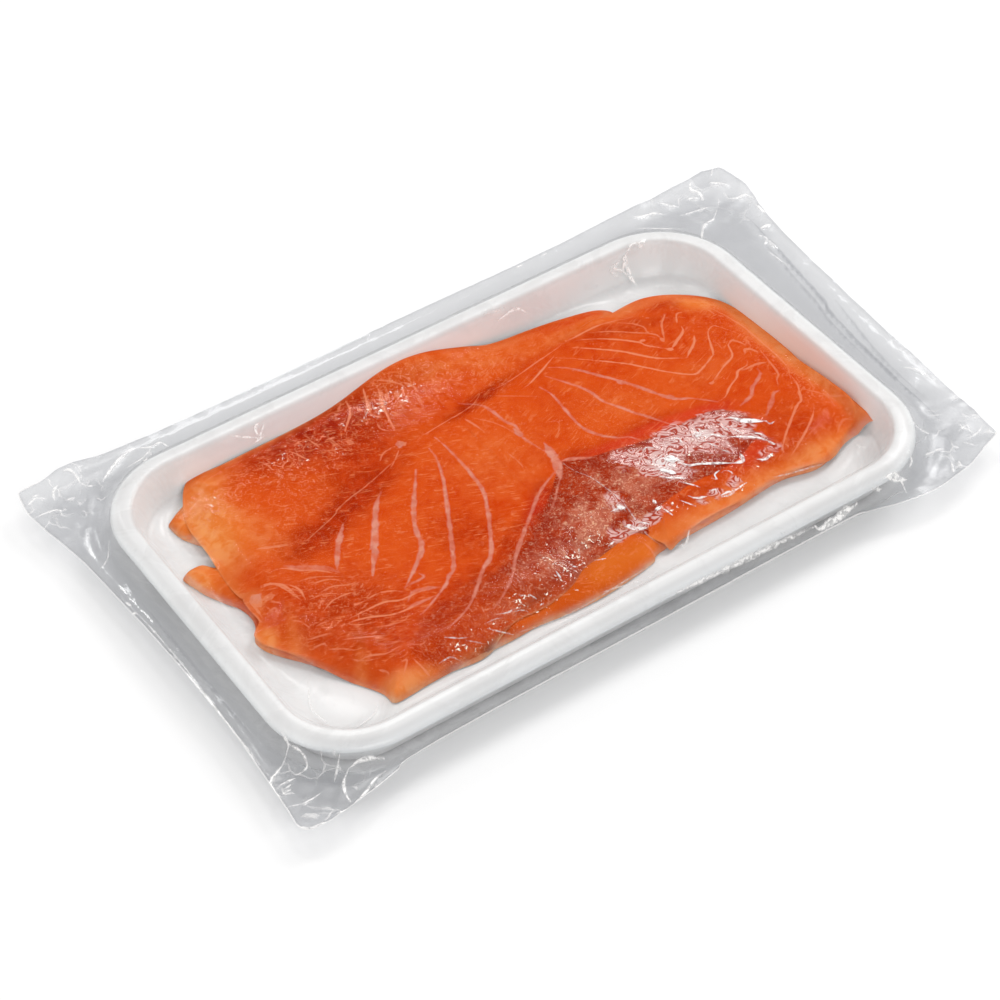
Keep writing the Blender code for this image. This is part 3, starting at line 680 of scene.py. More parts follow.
amberPatches = (
    (1, -2, -40, 26, 8, 0), (0.7, 12, -40.5, 5, 4, 0), (0.3, -24, -43.6, 10, 2.2, 0),
    (0.45, -84, 14, 3, 6, 0), (0.4, -88, 43, 3, 4, 0),
)
brownSpots = (
    (0.8, -39, -45.2, 3.4, 1.5, 12), (0.4, -33, -43.6, 4, 1.2, 0), (0.4, -22, -39.5, 6, 1.2, 8),
)

# fine marbling: half width, x, y, half extent in x and y, spacing, direction that it is counted along
veinZones = (
    (0.18, -64, -14, 18, 13, 1.9, 90), (0.18, -58, -31, 14, 11, 1.9, 74), (0.1, -70, 2, 12, 8, 2.4, 62),
    (0.1, -48, -24, 10, 10, 2.6, 100), (0.18, -40, 44, 24, 8, 2.3, -28), (0.16, -8, 47, 22, 7, 2, 16),
    (0.16, -72, 40, 12, 9, 1.9, -60), (0.1, 64, 28, 22, 12, 2.4, 40), (0.12, 86, -8, 7, 28, 2.2, 8),
    (0.13, 34, 44, 30, 4, 1.8, 70), (0.1, 76, -28, 14, 8, 2.4, 50), (0.08, -50, 18, 18, 10, 2.8, 110),
    (0.1, 80, 12, 10, 14, 2.4, 30),
)

# the silvery skin side: a hazy zone, and a whiter wrinkled one in it, whose white is partly silvery skin and
# partly painted glare of the film
hazeOutline = (
    13.4, -2.6, 6, -9, 0.6, -13.6, -3.6, -15.8, -9.6, -19.8, -18, -24, -26, -25.6, -34.8, -26.4, -42, -27.4,
    -49, -29.4, -55, -35, -57, -41, -51, -46, -38, -50, -10, -48, 10, -44, 15, -38, 18.6, -36.6, 21, -33.6,
    33, -31, 40, -30.6, 46, -31, 54, -30, 62, -27, 65.5, -29.6, 64, -23, 67, -20.6, 63, -13, 58, -10, 48,
    -9.6, 36, -9, 26, -6.6, 19, -5,
)
silverOutline = (
    24, -9.4, 31, -7, 40, -9.4, 50, -10.6, 59, -10, 63.4, -13, 67, -18, 70, -21.6, 68.6, -23, 64, -20.4,
    60.6, -18.4, 62, -22, 66, -29.4, 64.4, -30, 60, -26, 56, -23.4, 57, -28, 55, -31, 50, -29.6, 45, -25.4,
    40.6, -23, 38.6, -29, 35, -28.6, 31.6, -21.4, 28.6, -15,
)
# partly painted highlight: the white glare of the wrinkled film over the silvery skin
silverAndGlarePatches = (
    (0.75, 36, -18, 8, 7, -35), (0.7, 49, -16, 9, 6, -30), (0.55, 60, -17, 8, 4.5, -45),
    (0.45, 62, -25, 6, 2.4, -50), (0.3, 52, -24, 6, 3, -20), (0.45, 28, -12, 6, 4, -30),
    (0.3, 38, -26, 4, 3, 0), (0.45, 17, -24, 3.4, 4.4, 10), (0.35, 14, -32, 6, 3, 0),
    (0.3, 44, -36, 10, 2, 0), (0.3, 62, -33, 5, 2, 0), (0.4, 22, -33.6, 5, 2, 0),
)
# painted highlight: the brightest cores of that glare
silverGlareCores = (
    (1, 36.5, -20, 4.5, 3.2, -35), (0.8, 51.5, -16.4, 3.4, 3, 0), (1, 66, -19.4, 5.6, 1.1, -44),
    (0.6, 44, -27, 6, 1.6, -30), (0.5, 16, -26, 2, 1.8, 0), (0.4, 58, -24, 4, 2.5, 0),
    (0.4, 42, -14, 4, 2.4, 0),
)
hazePatches = (
    (1, 18, -21, 6, 9, 0), (0.8, 7, -24, 9, 6, -30), (0.8, 12, -30, 10, 4, 0), (0.6, -12, -31, 9, 4, 0),
    (0.4, -30, -38, 8, 3, 0), (0.6, 27, -21, 6, 6, 0), (0.5, 40, -32, 8, 3, 0), (0.5, -2, -30, 8, 4, 0),
)
rosyPatches = (
    (0.5, 46, -7, 16, 2.4, -8), (0.4, 28, -5.8, 10, 2.2, -10), (0.3, 60, -10, 8, 2.6, -20),
    (0.4, 56, -30, 8, 4, 0), (0.3, -2, -13, 8, 3, 40),
)
marblePatches = (
    (1, -62, -18, 18, 20, -20), (0.8, -44, -30, 10, 10, 0), (0.5, -20, 44, 40, 8, 0),
    (0.4, 72, 22, 20, 14, 0), (0.5, -72, 8, 10, 10, 0),
)
lobePatches = (
    (1, -12, 47, 30, 8, 0), (0.9, -48, 41, 18, 10, -10), (0.8, -74, 40, 9, 9, 0), (0.25, 14, 44, 14, 6, 0),
    (0.35, -66, -10, 12, 12, 0), (0.2, -62, 22, 16, 10, 20), (0.35, 88, -10, 6, 28, 0),
    (0.6, -44, -43, 14, 3, 4), (0.4, 62, -33, 20, 3, 0),
)


def seated(points, node):                          # an outline fitted to the plan box of its node
    p = np.array(points, float).reshape(-1, 2)
    low, high = nodeBox[node][:, :2]
    curve = smoothCurve(p, 1.0, closed=True)
    least, most = curve.min(axis=0), curve.max(axis=0)
    return low + (p - least) / (most - least) * (high - low)


def sliceOutlines():
    crease, far, near = (np.array(salmon[key]).reshape(-1, 2) for key in ("crease", "farSide", "nearSide"))
    gap = np.array((0.0, salmon["creaseGap"]))
    crease = smoothCurve(crease, 3.0)
    upper = np.vstack([crease[-1:], far, crease[:1], near])
    return {"under_slice": seated(salmon["underOutline"], "under_slice"), "upper": upper,
            "far_slice": np.vstack([crease + gap, far]), "top_slice": np.vstack([crease[::-1] - gap, near])}


outlines = {node: smoothCurve(points, 0.7, closed=True) for node, points in sliceOutlines().items()}
upperOutline = outlines.pop("upper")               # round both upper slices


def creaseAway(x, y):                              # distance to the crease between the two upper slices
    line = smoothCurve(salmon["crease"], 1.0)
    away = np.full(len(x), 1e9)
    for px, py in line:
        away = np.minimum(away, np.hypot(x - px, y - py))
    return away


def fleshRelief(x, y):                             # soft unevenness of the flesh, in mm
    broad = clouds(x, y, 11.0, 11, 2) - 0.5
    fine = clouds(x, y, 3.2, 14, 2) - 0.5
    return salmon["relief"] * (2.0 * broad + 0.8 * fine)


def roundedEdge(depth, radius):                    # 0 at a slice's outline, 1 from the radius inwards
    t = np.clip(1 - depth / radius, 0, 1)
    return np.sqrt(1 - t * t)


def underTop(depth):                               # top of the slice underneath, rounded at its outline
    low, high = tray["floorHeight"], nodeBox["under_slice"][1, 2]
    least = salmon["underEdge"]
    return low + least + (high - low - least) * roundedEdge(depth, salmon["underThinning"])


def upperBottom(x, y):                             # underside of the two upper slices
    lift = np.zeros(len(x))
    for across, along, climbs in ((x, y, salmon["wallClimbs"]), (y, x, salmon["endClimbs"])):
        for height, middle, wide, first, deep in climbs:
            lift += height * np.exp(-((across - middle) / wide) ** 2) * ease((along - first) / deep)
    depth = insideDepth(outlines["under_slice"][::2], x, y)
    out = np.maximum(-depth, 0)
    (nearFall, nearWidth), (farFall, farWidth) = salmon["droop"]["near"], salmon["droop"]["far"]
    far = ease((y + 10) / 20)
    sink = mix(nearFall, farFall, far) * (1 - np.exp(-(out / mix(nearWidth, farWidth, far)) ** 2))
    # in the near left part the slice folds down round the one below
    wrapped = ease((-28 - x) / 10) * ease((-24 - y) / 10)
    rest = mix(nodeBox["under_slice"][1, 2] - sink, underTop(np.maximum(depth, 1e-6)), wrapped)
    return rest + salmon["layerGap"] + lift


def upperTop(x, y, bottom):
    depth = np.maximum(insideDepth(upperOutline, x, y), 0)
    share = ease(depth / salmon["thinning"]) ** 0.8
    edge = salmon["edgeThickness"] * (0.35 + 0.65 * roundedEdge(depth, 0.6))
    stations, depths = np.array(salmon["valley"]).T
    valley = np.interp(x, stations, depths) * np.exp(-(creaseAway(x, y) / salmon["valleyReach"]) ** 2)
    return bottom + mix(edge, salmon["thickness"] * (1 - valley) + fleshRelief(x, y), share)


def fleshMasks(node, x, y, depth):
    wide, widePower = drawStrokes(x, y, wideFat, 3)
    thin, thinPower = drawStrokes(x, y, thinFat, 4)
    if node == "under_slice":
        thin, thinPower = drawStrokes(x, y, edgeFat, 6)
        widePower = 0.0 * widePower
    curve = smoothCurve(hazeOutline, 1.0, closed=True)
    masks = {"wideFat": wide, "widePower": widePower, "thinFat": thin, "thinPower": thinPower,
             "veins": drawVeins(x, y, veinZones), "fan": ease((6 - x) / 10)}
    patches = {"dark": darkPatches, "pale": palePatches, "peach": peachPatches, "amber": amberPatches,
               "brown": brownSpots, "rosy": rosyPatches, "lobe": lobePatches, "marble": marblePatches,
               "silver": silverAndGlarePatches, "silverCore": silverGlareCores, "hazePale": hazePatches}
    for name, blobs in patches.items():
        masks[name] = drawBlobs(x, y, blobs)
    outer = depth if node == "under_slice" else insideDepth(upperOutline, x, y)
    outer = np.maximum(outer, 0)
    # pale line along the outline: the cut edge, partly a painted highlight
    masks["edge"] = np.exp(-outer / 0.45) * (0.2 + 0.8 * drawBlobs(x, y, creamPatches))
    soft = mix(1.2, 9.0, ease((6 - x) / 16))       # the haze thins out slowly towards the fan of fat lines
    masks["haze"] = np.clip(0.5 + insideDepth(curve, x, y) / soft, 0, 1) * (node != "under_slice")
    masks["hazeShare"] = mix(0.5, 0.92, ease((x + 0.9 * y + 70) / 34))
    if node != "under_slice":
        masks["rim"] = np.exp(-(outer / 2.2) ** 2)
    return masks


def fleshPaint(name):
    paint = Paint(name)
    shades = {name: tone(*colour) for name, colour in salmon["tones"].items()}
    broad = paint.spread(paint.noise(60.0, 2.0, 0.5), 0.32, 0.68)
    small = paint.spread(paint.noise(280.0, 3.0, 0.55, 0.4), 0.35, 0.65)
    grain = paint.noise(1300.0, 2.0, 0.6)
    # painted highlights: small bright flecks standing for the wet glints on the flesh
    glintFlecks = paint.spread(paint.noise(1050.0, 2.0, 0.6, 1.0), 0.55, 0.66)
    lobe, marble, fan = paint.mask("lobe"), paint.mask("marble"), paint.mask("fan")
    colour = paint.blend(broad, shades["fleshDeep"], shades["flesh"])
    colour = paint.blend(small * 0.3, colour, shades["fleshLight"])
    mottle = paint.spread(paint.noise(640.0, 3.0, 0.62, 0.8), 0.42, 0.62)
    colour = paint.blend(mottle * 0.18, colour, shades["mottle"])
    fanHairs = paint.hairs(620.0, 9.0, -24) * paint.spread(paint.noise(330.0, 1.0), 0.45, 0.6)
    sideHairs = paint.hairs(560.0, 10.0, 22) * paint.spread(paint.noise(300.0, 1.0), 0.5, 0.62)
    # painted shade in part: the deeper red along the crease valley
    colour = paint.blend(paint.mask("dark"), colour, paint.blend(small, shades["darkDeep"], shades["dark"]))
    colour = paint.blend(paint.mask("rosy"), colour, shades["rosy"])
    pale = paint.blend(small * 0.7, shades["pale"], shades["paleLight"])
    colour = paint.blend(paint.mask("pale"), colour, pale)
    colour = paint.blend(paint.mask("peach"), colour, shades["peach"])
    amber = paint.blend(broad, shades["amberDeep"], shades["amber"])
    colour = paint.blend(paint.mask("amber"), colour, amber)
    colour = paint.blend(fan * fanHairs * 0.5, colour, shades["hair"])
    colour = paint.blend((1 - fan) * sideHairs * 0.42, colour, shades["hair"])
    laces = paint.spread(paint.curls(330.0, 8.0, 0.8), 0.84, 0.97)
    colour = paint.blend(lobe * laces * paint.spread(small, 0.2, 0.5), colour, shades["lace"])
    # patches where the painted glints gather
    glintZones = paint.spread(paint.noise(75.0, 2.0), 0.44, 0.6)
    colour = paint.blend(glintFlecks * (0.05 + 0.3 * lobe + 0.12 * glintZones), colour, shades["fleck"])
    crossed = paint.hairs(420.0, 4.5, 3, 0.045) * paint.spread(paint.noise(260.0, 1.0), 0.42, 0.56)
    crossed = crossed + paint.hairs(380.0, 4.0, -16, 0.045) * paint.spread(paint.noise(240.0, 1.0), 0.6, 0.46)
    colour = paint.blend(marble * crossed * 0.18, colour, shades["crossed"])
    haze = paint.spread(paint.mask("haze") + (paint.noise(300.0, 3.0) - 0.5) * 0.5, 0.25, 0.75)
    skin = paint.blend(small, shades["skinDeep"], shades["skin"])
    hazePale = paint.mask("hazePale") * paint.spread(paint.noise(200.0, 2.0), 0.35, 0.6)
    skin = paint.blend(hazePale * 0.6, skin, shades["skinPale"])
    fineCurls = paint.spread(paint.curls(560.0, 8.0, 0.8), 0.5, 0.95)
    skin = paint.blend(fineCurls * (0.14 + 0.6 * hazePale), skin, shades["skinCurl"])
    # painted highlights: glints over the hazy skin
    skin = paint.blend(glintFlecks * (0.3 + 0.6 * hazePale), skin, shades["skinFleck"])
    colour = paint.blend(haze * paint.mask("hazeShare"), colour, skin)
    # partly painted highlight: silvery skin whitened with the glare of the film
    silver = paint.mask("silver")
    along = paint.stretched(1.5, -40)
    swirl = paint.curls(330.0, 15.0, 0.6, along)
    shine = paint.blend(paint.spread(swirl, 0.2, 0.6), shades["silverDeep"], shades["silver"])
    glareCore = paint.mask("silverCore") * paint.spread(swirl, 0.0, 0.45)
    shine = paint.blend(glareCore, shine, shades["silverCore"])
    cover = paint.spread(silver + (paint.noise(260.0, 2.0, 0.5, 0.6, along) - 0.5) * 1.4, 0.12, 0.45)
    colour = paint.blend(cover * paint.spread(silver, 0.04, 0.16) * 0.92, colour, shine)
    veins = paint.line("veins", 0.09, 0.1) * (0.45 + 0.35 * lobe + 0.25 * marble)
    colour = paint.blend(veins, colour, shades["vein"])
    colour = paint.blend(paint.line("thinFat") * paint.mask("thinPower"), colour, shades["thinFat"])
    fat = paint.blend(small, shades["wideFatDeep"], shades["wideFat"])
    uneven = paint.spread(paint.noise(380.0, 2.0), 0.35, 0.6, 0.55, 1.0)
    wideLines = paint.line("wideFat", 0.15, 0.16) * paint.mask("widePower") * uneven
    colour = paint.blend(wideLines, colour, fat)
    # painted highlights: tiny bright dots standing for glints
    glintDots = paint.spread(paint.cells(620.0, "F1"), 0.10, 0.20, 1.0, 0.0)
    glintDots = glintDots * paint.spread(paint.noise(240.0, 2.0), 0.52, 0.64)
    colour = paint.blend(glintDots * (0.25 + 0.6 * lobe), colour, shades["dot"])
    colour = paint.blend(paint.mask("brown") * 0.8, colour, shades["brown"])
    colour = paint.blend(paint.mask("rim") * 0.22 * (1 - haze), colour, shades["rim"])
    # pale outline: cut edge and painted highlight
    colour = paint.blend(paint.mask("edge") * (0.5 + 0.4 * small), colour, shades["edge"])
    colour = paint.blend(0.16, colour, shades["wash"])
    relief = grain * 0.25 + paint.mask("wideFat") * -0.4 + paint.mask("thinFat") * -0.3
    relief = relief + fineCurls * haze * 0.5 + laces * lobe * 0.5
    normal = paint.bump(relief, 0.5, 0.00025)
    surface = paint.node("ShaderNodeBsdfPrincipled", {}, {
        "Base Color": colour, "Roughness": paint.spread(grain, 0.2, 0.8, 0.34, 0.5), "Normal": normal,
        "Specular IOR Level": 0.0, "Subsurface Weight": 0.1, "Subsurface Radius": (1.0, 0.35, 0.15),
        "Subsurface Scale": 0.0012})
    return paint.finish(surface)


def insetRings(outline, depths):
    ahead = np.roll(outline, -1, axis=0) - np.roll(outline, 1, axis=0)
    ahead /= np.hypot(*ahead.T)[:, None]
    inward = np.stack([-ahead[:, 1], ahead[:, 0]], axis=1)
    return [outline + inward * depth for depth in depths]


def makeSlice(node):
    outline = outlines[node]
    rings = np.vstack(insetRings(outline, (0.15, 0.4, 0.75)))
    rings = rings[insideDepth(outline, rings[:, 0], rings[:, 1]) > 0.1]
    inner = gridPoints(outline, salmon["step"], 1.05)
    if node == "under_slice":
        depth = insideDepth(outline, inner[:, 0], inner[:, 1])
        inner = inner[(depth < 12) | (np.arange(len(inner)) % 23 == 0)]
    plan, isTop, faces = closedSheet(outline, np.vstack([rings, inner]), gridPoints(outline, 4.0, 2.0))
    x, y = plan[:, 0], plan[:, 1]
    depth = np.maximum(insideDepth(outline, x, y), 0)
    depth[:len(outline)] = 0
    if node == "under_slice":
        low, high = np.full(len(x), tray["floorHeight"] + 0.04), underTop(np.maximum(depth, 1e-6))
    else:
        low = upperBottom(x, y)
        high = upperTop(x, y, low)
    places = np.column_stack([plan, np.where(isTop, high, low)])
    masks = fleshMasks(node, x, y, depth)
    name = node.replace("slice", "salmon")
    piece = buildPiece(name, places, faces, fleshPaint(node + " flesh"), masks)
    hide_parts(node)


makeSlice("under_slice")
makeSlice("far_slice")
makeSlice("top_slice")
print("salmon made")


film = {
    "outline": (
        -110.9, -60, -111.5, -67.6, -109.4, -70.9, -104.5, -71.4, -97, -70.7, -82.5, -67.6, -71, -65.6, 0,
        -65.3, 60, -65.2, 71, -65.9, 80, -68.3, 91, -69.7, 102.7, -68.4, 111.5, -65.6, 118.7, -62.7, 119.6,
        -61.6, 119.9, -56.5, 121.2, -32, 122.6, 3, 126.6, 47, 130.2, 63.5, 130.6, 70, 129.5, 75.8, 128.9,
        77.8, 128.2, 78.3, 124, 79.8, 123, 79.9, 112, 78.6, 88, 78.6, 60, 77.2, 0, 76.8, -67, 77.4, -88,
        78.4, -98, 80, -105, 79.2, -112.8, 78, -114, 77.5, -114.5, 76.6, -115.4, 69, -114, 59.5, -111.6, 44,
        -110, 12, -109, -30,
    ),
    "step": 0.8,
    "fineStep": 0.48,
    "ringInsets": (                                # rows of mesh points that follow the tray's rim
        -2.4, -1.7, -1.2, -0.8, -0.45, -0.15, 0.2, 0.7, 1.3, 2, 2.8, 3.5, 4.2, 4.9, 5.5, 6, 6.4, 6.8,
        7.2, 7.7, 8.3, 8.9, 9.5, 10.2),
    "clearance": 0.14,                             # mm above what it clings to
    "bridging": 70,                                # passes that draw it taut across hollows
    "borderHeight": 6.4,                           # of the border's upper film above the ground
    "layers": 0.8,                                 # mm of air between the two films of the border
    "underTray": -0.12,                            # height of the film under the base
    "ears": ((-110, -70, 27), (-112, 78, 27), (128, 78, 30), (117, -63, 24)),           # x, y, size
    "earMesh": 0.35,                               # share of ear from which the mesh is finer
    "skinMesh": 0.05,                              # and the same for the wrinkled film
    "rimBand": (-2.7, 10.6),                       # insets between which only the rim's rows are used
    # folds: height, length, direction that they are counted along, waviness
    "earFolds": ((0.9, 17.0, 38, 0.6), (0.35, 8.0, 118, 0.8), (0.1, 4.2, 72, 0.8)),
    "borderFolds": ((0.3, 26.0, 96, 0.6), (0.12, 9.0, 62, 0.8)),
    "fishFolds": ((0.05, 6.5, 52, 0.9),),
    "skinFolds": ((0.22, 4.2, 50, 1.0), (0.12, 2.4, 62, 1.1), (0.08, 1.7, 130, 1.0)),
    "trayFolds": ((0.05, 17.0, 40, 0.8),),
    "sparkles": (                                  # patches with small glints
        (1, -14, 46, 18, 4, -3), (0.3, 2, 45, 10, 5, 0), (0.6, -42, 43, 12, 5, -25),
        (0.7, -76, 42, 6, 5, 0), (0.8, 45, -37.5, 9, 1.6, -4), (0.7, 26, -34.6, 9, 2.4, 0),
        (1, -22, -38.6, 14, 2.6, 6), (1, -43, -42.6, 9, 3, 0), (0.7, 60, -33.6, 6, 1.6, 0),
        (1, -6, -33, 22, 7, 22), (0.5, 47, -21, 17, 9, -20),
    ),
    "borderTint": (0.88, 0.883, 0.89),
    "clungTint": (0.98, 0.98, 0.98),
    # the darker tint of sealed seams, also used for painted shade
    "seamAndShadeTint": (0.70, 0.705, 0.72),
    # painted shade of soft film folds over the tray
    "trayFoldShade": (0.74, 0.725, 0.72),
    "frostColour": (0.9, 0.91, 0.93),
    # painted highlights: the white of the drawn lines
    "highlightColour": (1.0, 0.985, 0.965),
    "glintColour": (1.0, 0.9, 0.76),
    # share of mirror seen straight on, and the gloss of each part
    "mirror": {"border": 0.05, "tray": 0.022, "fish": 0.003, "wrinkled": 0.03},
    "roughness": {"border": 0.07, "tray": 0.22, "fish": 0.08, "ear": 0.4},
}

# sharp creases of the ears, raised, and drawn white as painted highlights: width, strength, then points
earLines = (
    (0.9, 1, -103, -48.5, -109.5, -51.5, -110.5, -56.5, -109.5, -58.5),
    (0.7, 0.9, -104, -54.5, -107.5, -54, -109.5, -54.5), (0.5, 0.8, -105.5, -55.5, -108.5, -56),
    (0.5, 0.8, -107, -57, -109.5, -57), (0.7, 0.9, -101.5, -47.5, -100, -52, -100.5, -54.5, -103.5, -54),
    (0.6, 0.8, -101.5, -44.5, -101.5, -47.5, -103, -48.5),
    (0.6, 0.8, -110.5, -61.5, -106.5, -63, -101, -62.5),
    (0.9, 1, -92.5, -61.5, -95, -63, -96.5, -66, -97, -69.5), (0.6, 0.9, -92.5, -61.5, -89, -62, -83.5, -64),
    (0.8, 1, -84.5, -66, -88, -66.5, -92.5, -69, -97, -70.5),
    (0.6, 0.9, -102.5, -70.5, -97, -71.5, -92.5, -70.5),
    (0.5, 0.8, -111.5, -67, -111, -68.5, -109, -70.5, -106.5, -71, -103.5, -72.5),
    (0.6, 0.7, -93, -58.5, -97, -61.5), (1.2, 0.8, -94, -57, -94, -58),
    (2.5, 0.4, -109.5, -66, -105.5, -68.5), (1.3, 1, -92.5, 68.5, -86.5, 72.5, -80.5, 75, -78, 74.5),
    (1.2, 0.9, -78, 74.5, -75, 72.5, -72, 72.5, -71, 69.5), (0.6, 0.8, -85, 69, -79.5, 69.5, -74, 72.5),
    (0.5, 0.7, -80.5, 69, -81.5, 62, -75.5, 71), (1.2, 0.8, -107, 69.5, -105.5, 73, -103, 75),
    (1.3, 0.8, -100, 78.5, -98.5, 78, -97.5, 75, -98, 71.5), (0.5, 0.8, -98, 71.5, -97, 69, -94.5, 68),
    (0.9, 0.8, -114, 72, -111, 72.5, -108.5, 71.5), (0.8, 0.7, -112, 73.5, -109.5, 73.5),
    (0.6, 0.8, -115.5, 67, -108, 65.5, -108, 63, -106, 61.5), (1.2, 0.5, -104.5, 68, -101.5, 67.5),
    (0.8, 0.6, -97, 63.5, -96.5, 61, -94.5, 61.5), (1.5, 0.9, 118, 78, 115.5, 74.5, 116.5, 71.5, 115.5, 68),
    (1.2, 0.9, 111.5, 71, 115, 69.5), (1.2, 0.7, 104, 76, 105.5, 72.5, 107.5, 70),
    (1.2, 0.8, 93.5, 75, 96, 73, 99.5, 72, 102, 69.5), (0.6, 0.7, 91, 70, 98.5, 63, 102.5, 60),
    (0.6, 0.7, 105.5, 66.5, 116.5, 63.5), (1.2, 0.7, 122, 74.5, 126.5, 69),
    (1.3, 0.8, 122.5, 64.5, 124.5, 63, 128.5, 63), (1.6, 1, 127.5, 58, 127, 52.5),
    (1.2, 0.9, 121.5, 47.5, 125, 47), (1, 0.8, 118.5, 46, 120, 42.5, 117.5, 40.5),
    (1, 0.6, 116.5, 62.5, 112.5, 59, 107.5, 57.5, 99, 47), (1.8, 0.4, 119.5, 42.5, 119.5, 36.5),
    (0.5, 0.8, 116.5, 37.5, 117, 28.5), (1.5, 0.5, 97.5, -50.5, 100, -52, 103.5, -53),
    (1.2, 0.5, 95.5, -59.5, 101, -58.5, 103.5, -59), (0.7, 0.7, 101.5, -64, 99, -68),
    (1.2, 0.6, 103.5, -64.5, 102, -67.5), (0.6, 0.8, 77.5, -63, 82, -63, 83.5, -64, 83.5, -66.5),
    (0.6, 0.7, 90, -59, 89.5, -61, 87, -62.5), (0.5, 0.6, 110.5, -56, 114.5, -55, 114, -57.5),
    (0.5, 0.6, 111, -59.5, 115, -59, 118.5, -57.5), (0.5, 0.6, 109, -60, 110.5, -63.5),
)
# creases pressed into the film over the tray: height, half width, then points
trayCreases = (
    (0.35, 0.7, 78, 56, 73.5, 50, 68, 51), (0.35, 0.6, 73.5, 50, 72.5, 45),
    (0.25, 0.7, -83, -49.5, -72.5, -44), (0.25, 0.7, -82.5, -26, -89, -40),
    (0.3, 0.6, 30.5, 52, 36.5, 54, 37.5, 50.5), (0.3, 0.6, 62, 51, 65, 54.5), (0.3, 0.6, 29, 57, 30.5, 60),
    (0.25, 0.6, 53.5, 52, 55, 54), (0.3, 0.8, -94, -14, -93, -30, -88, -46),
    (0.3, 0.8, -60, -53, -30, -50.5, 0, -51), (0.3, 0.8, 26, -48, 60, -46, 84, -46.5),
    (0.35, 0.9, 80, -47.5, 92, -44, 95.5, -30), (0.3, 0.8, -94, 40, -90, 49, -80, 54),
)

earHighlightLines = [(0.3 + 0.35 * width, strength, *points) for width, strength, *points in earLines]
raisedLines = [(0.15 + 0.25 * width, 0.5 + 0.3 * width, *points) for width, _, *points in earLines]

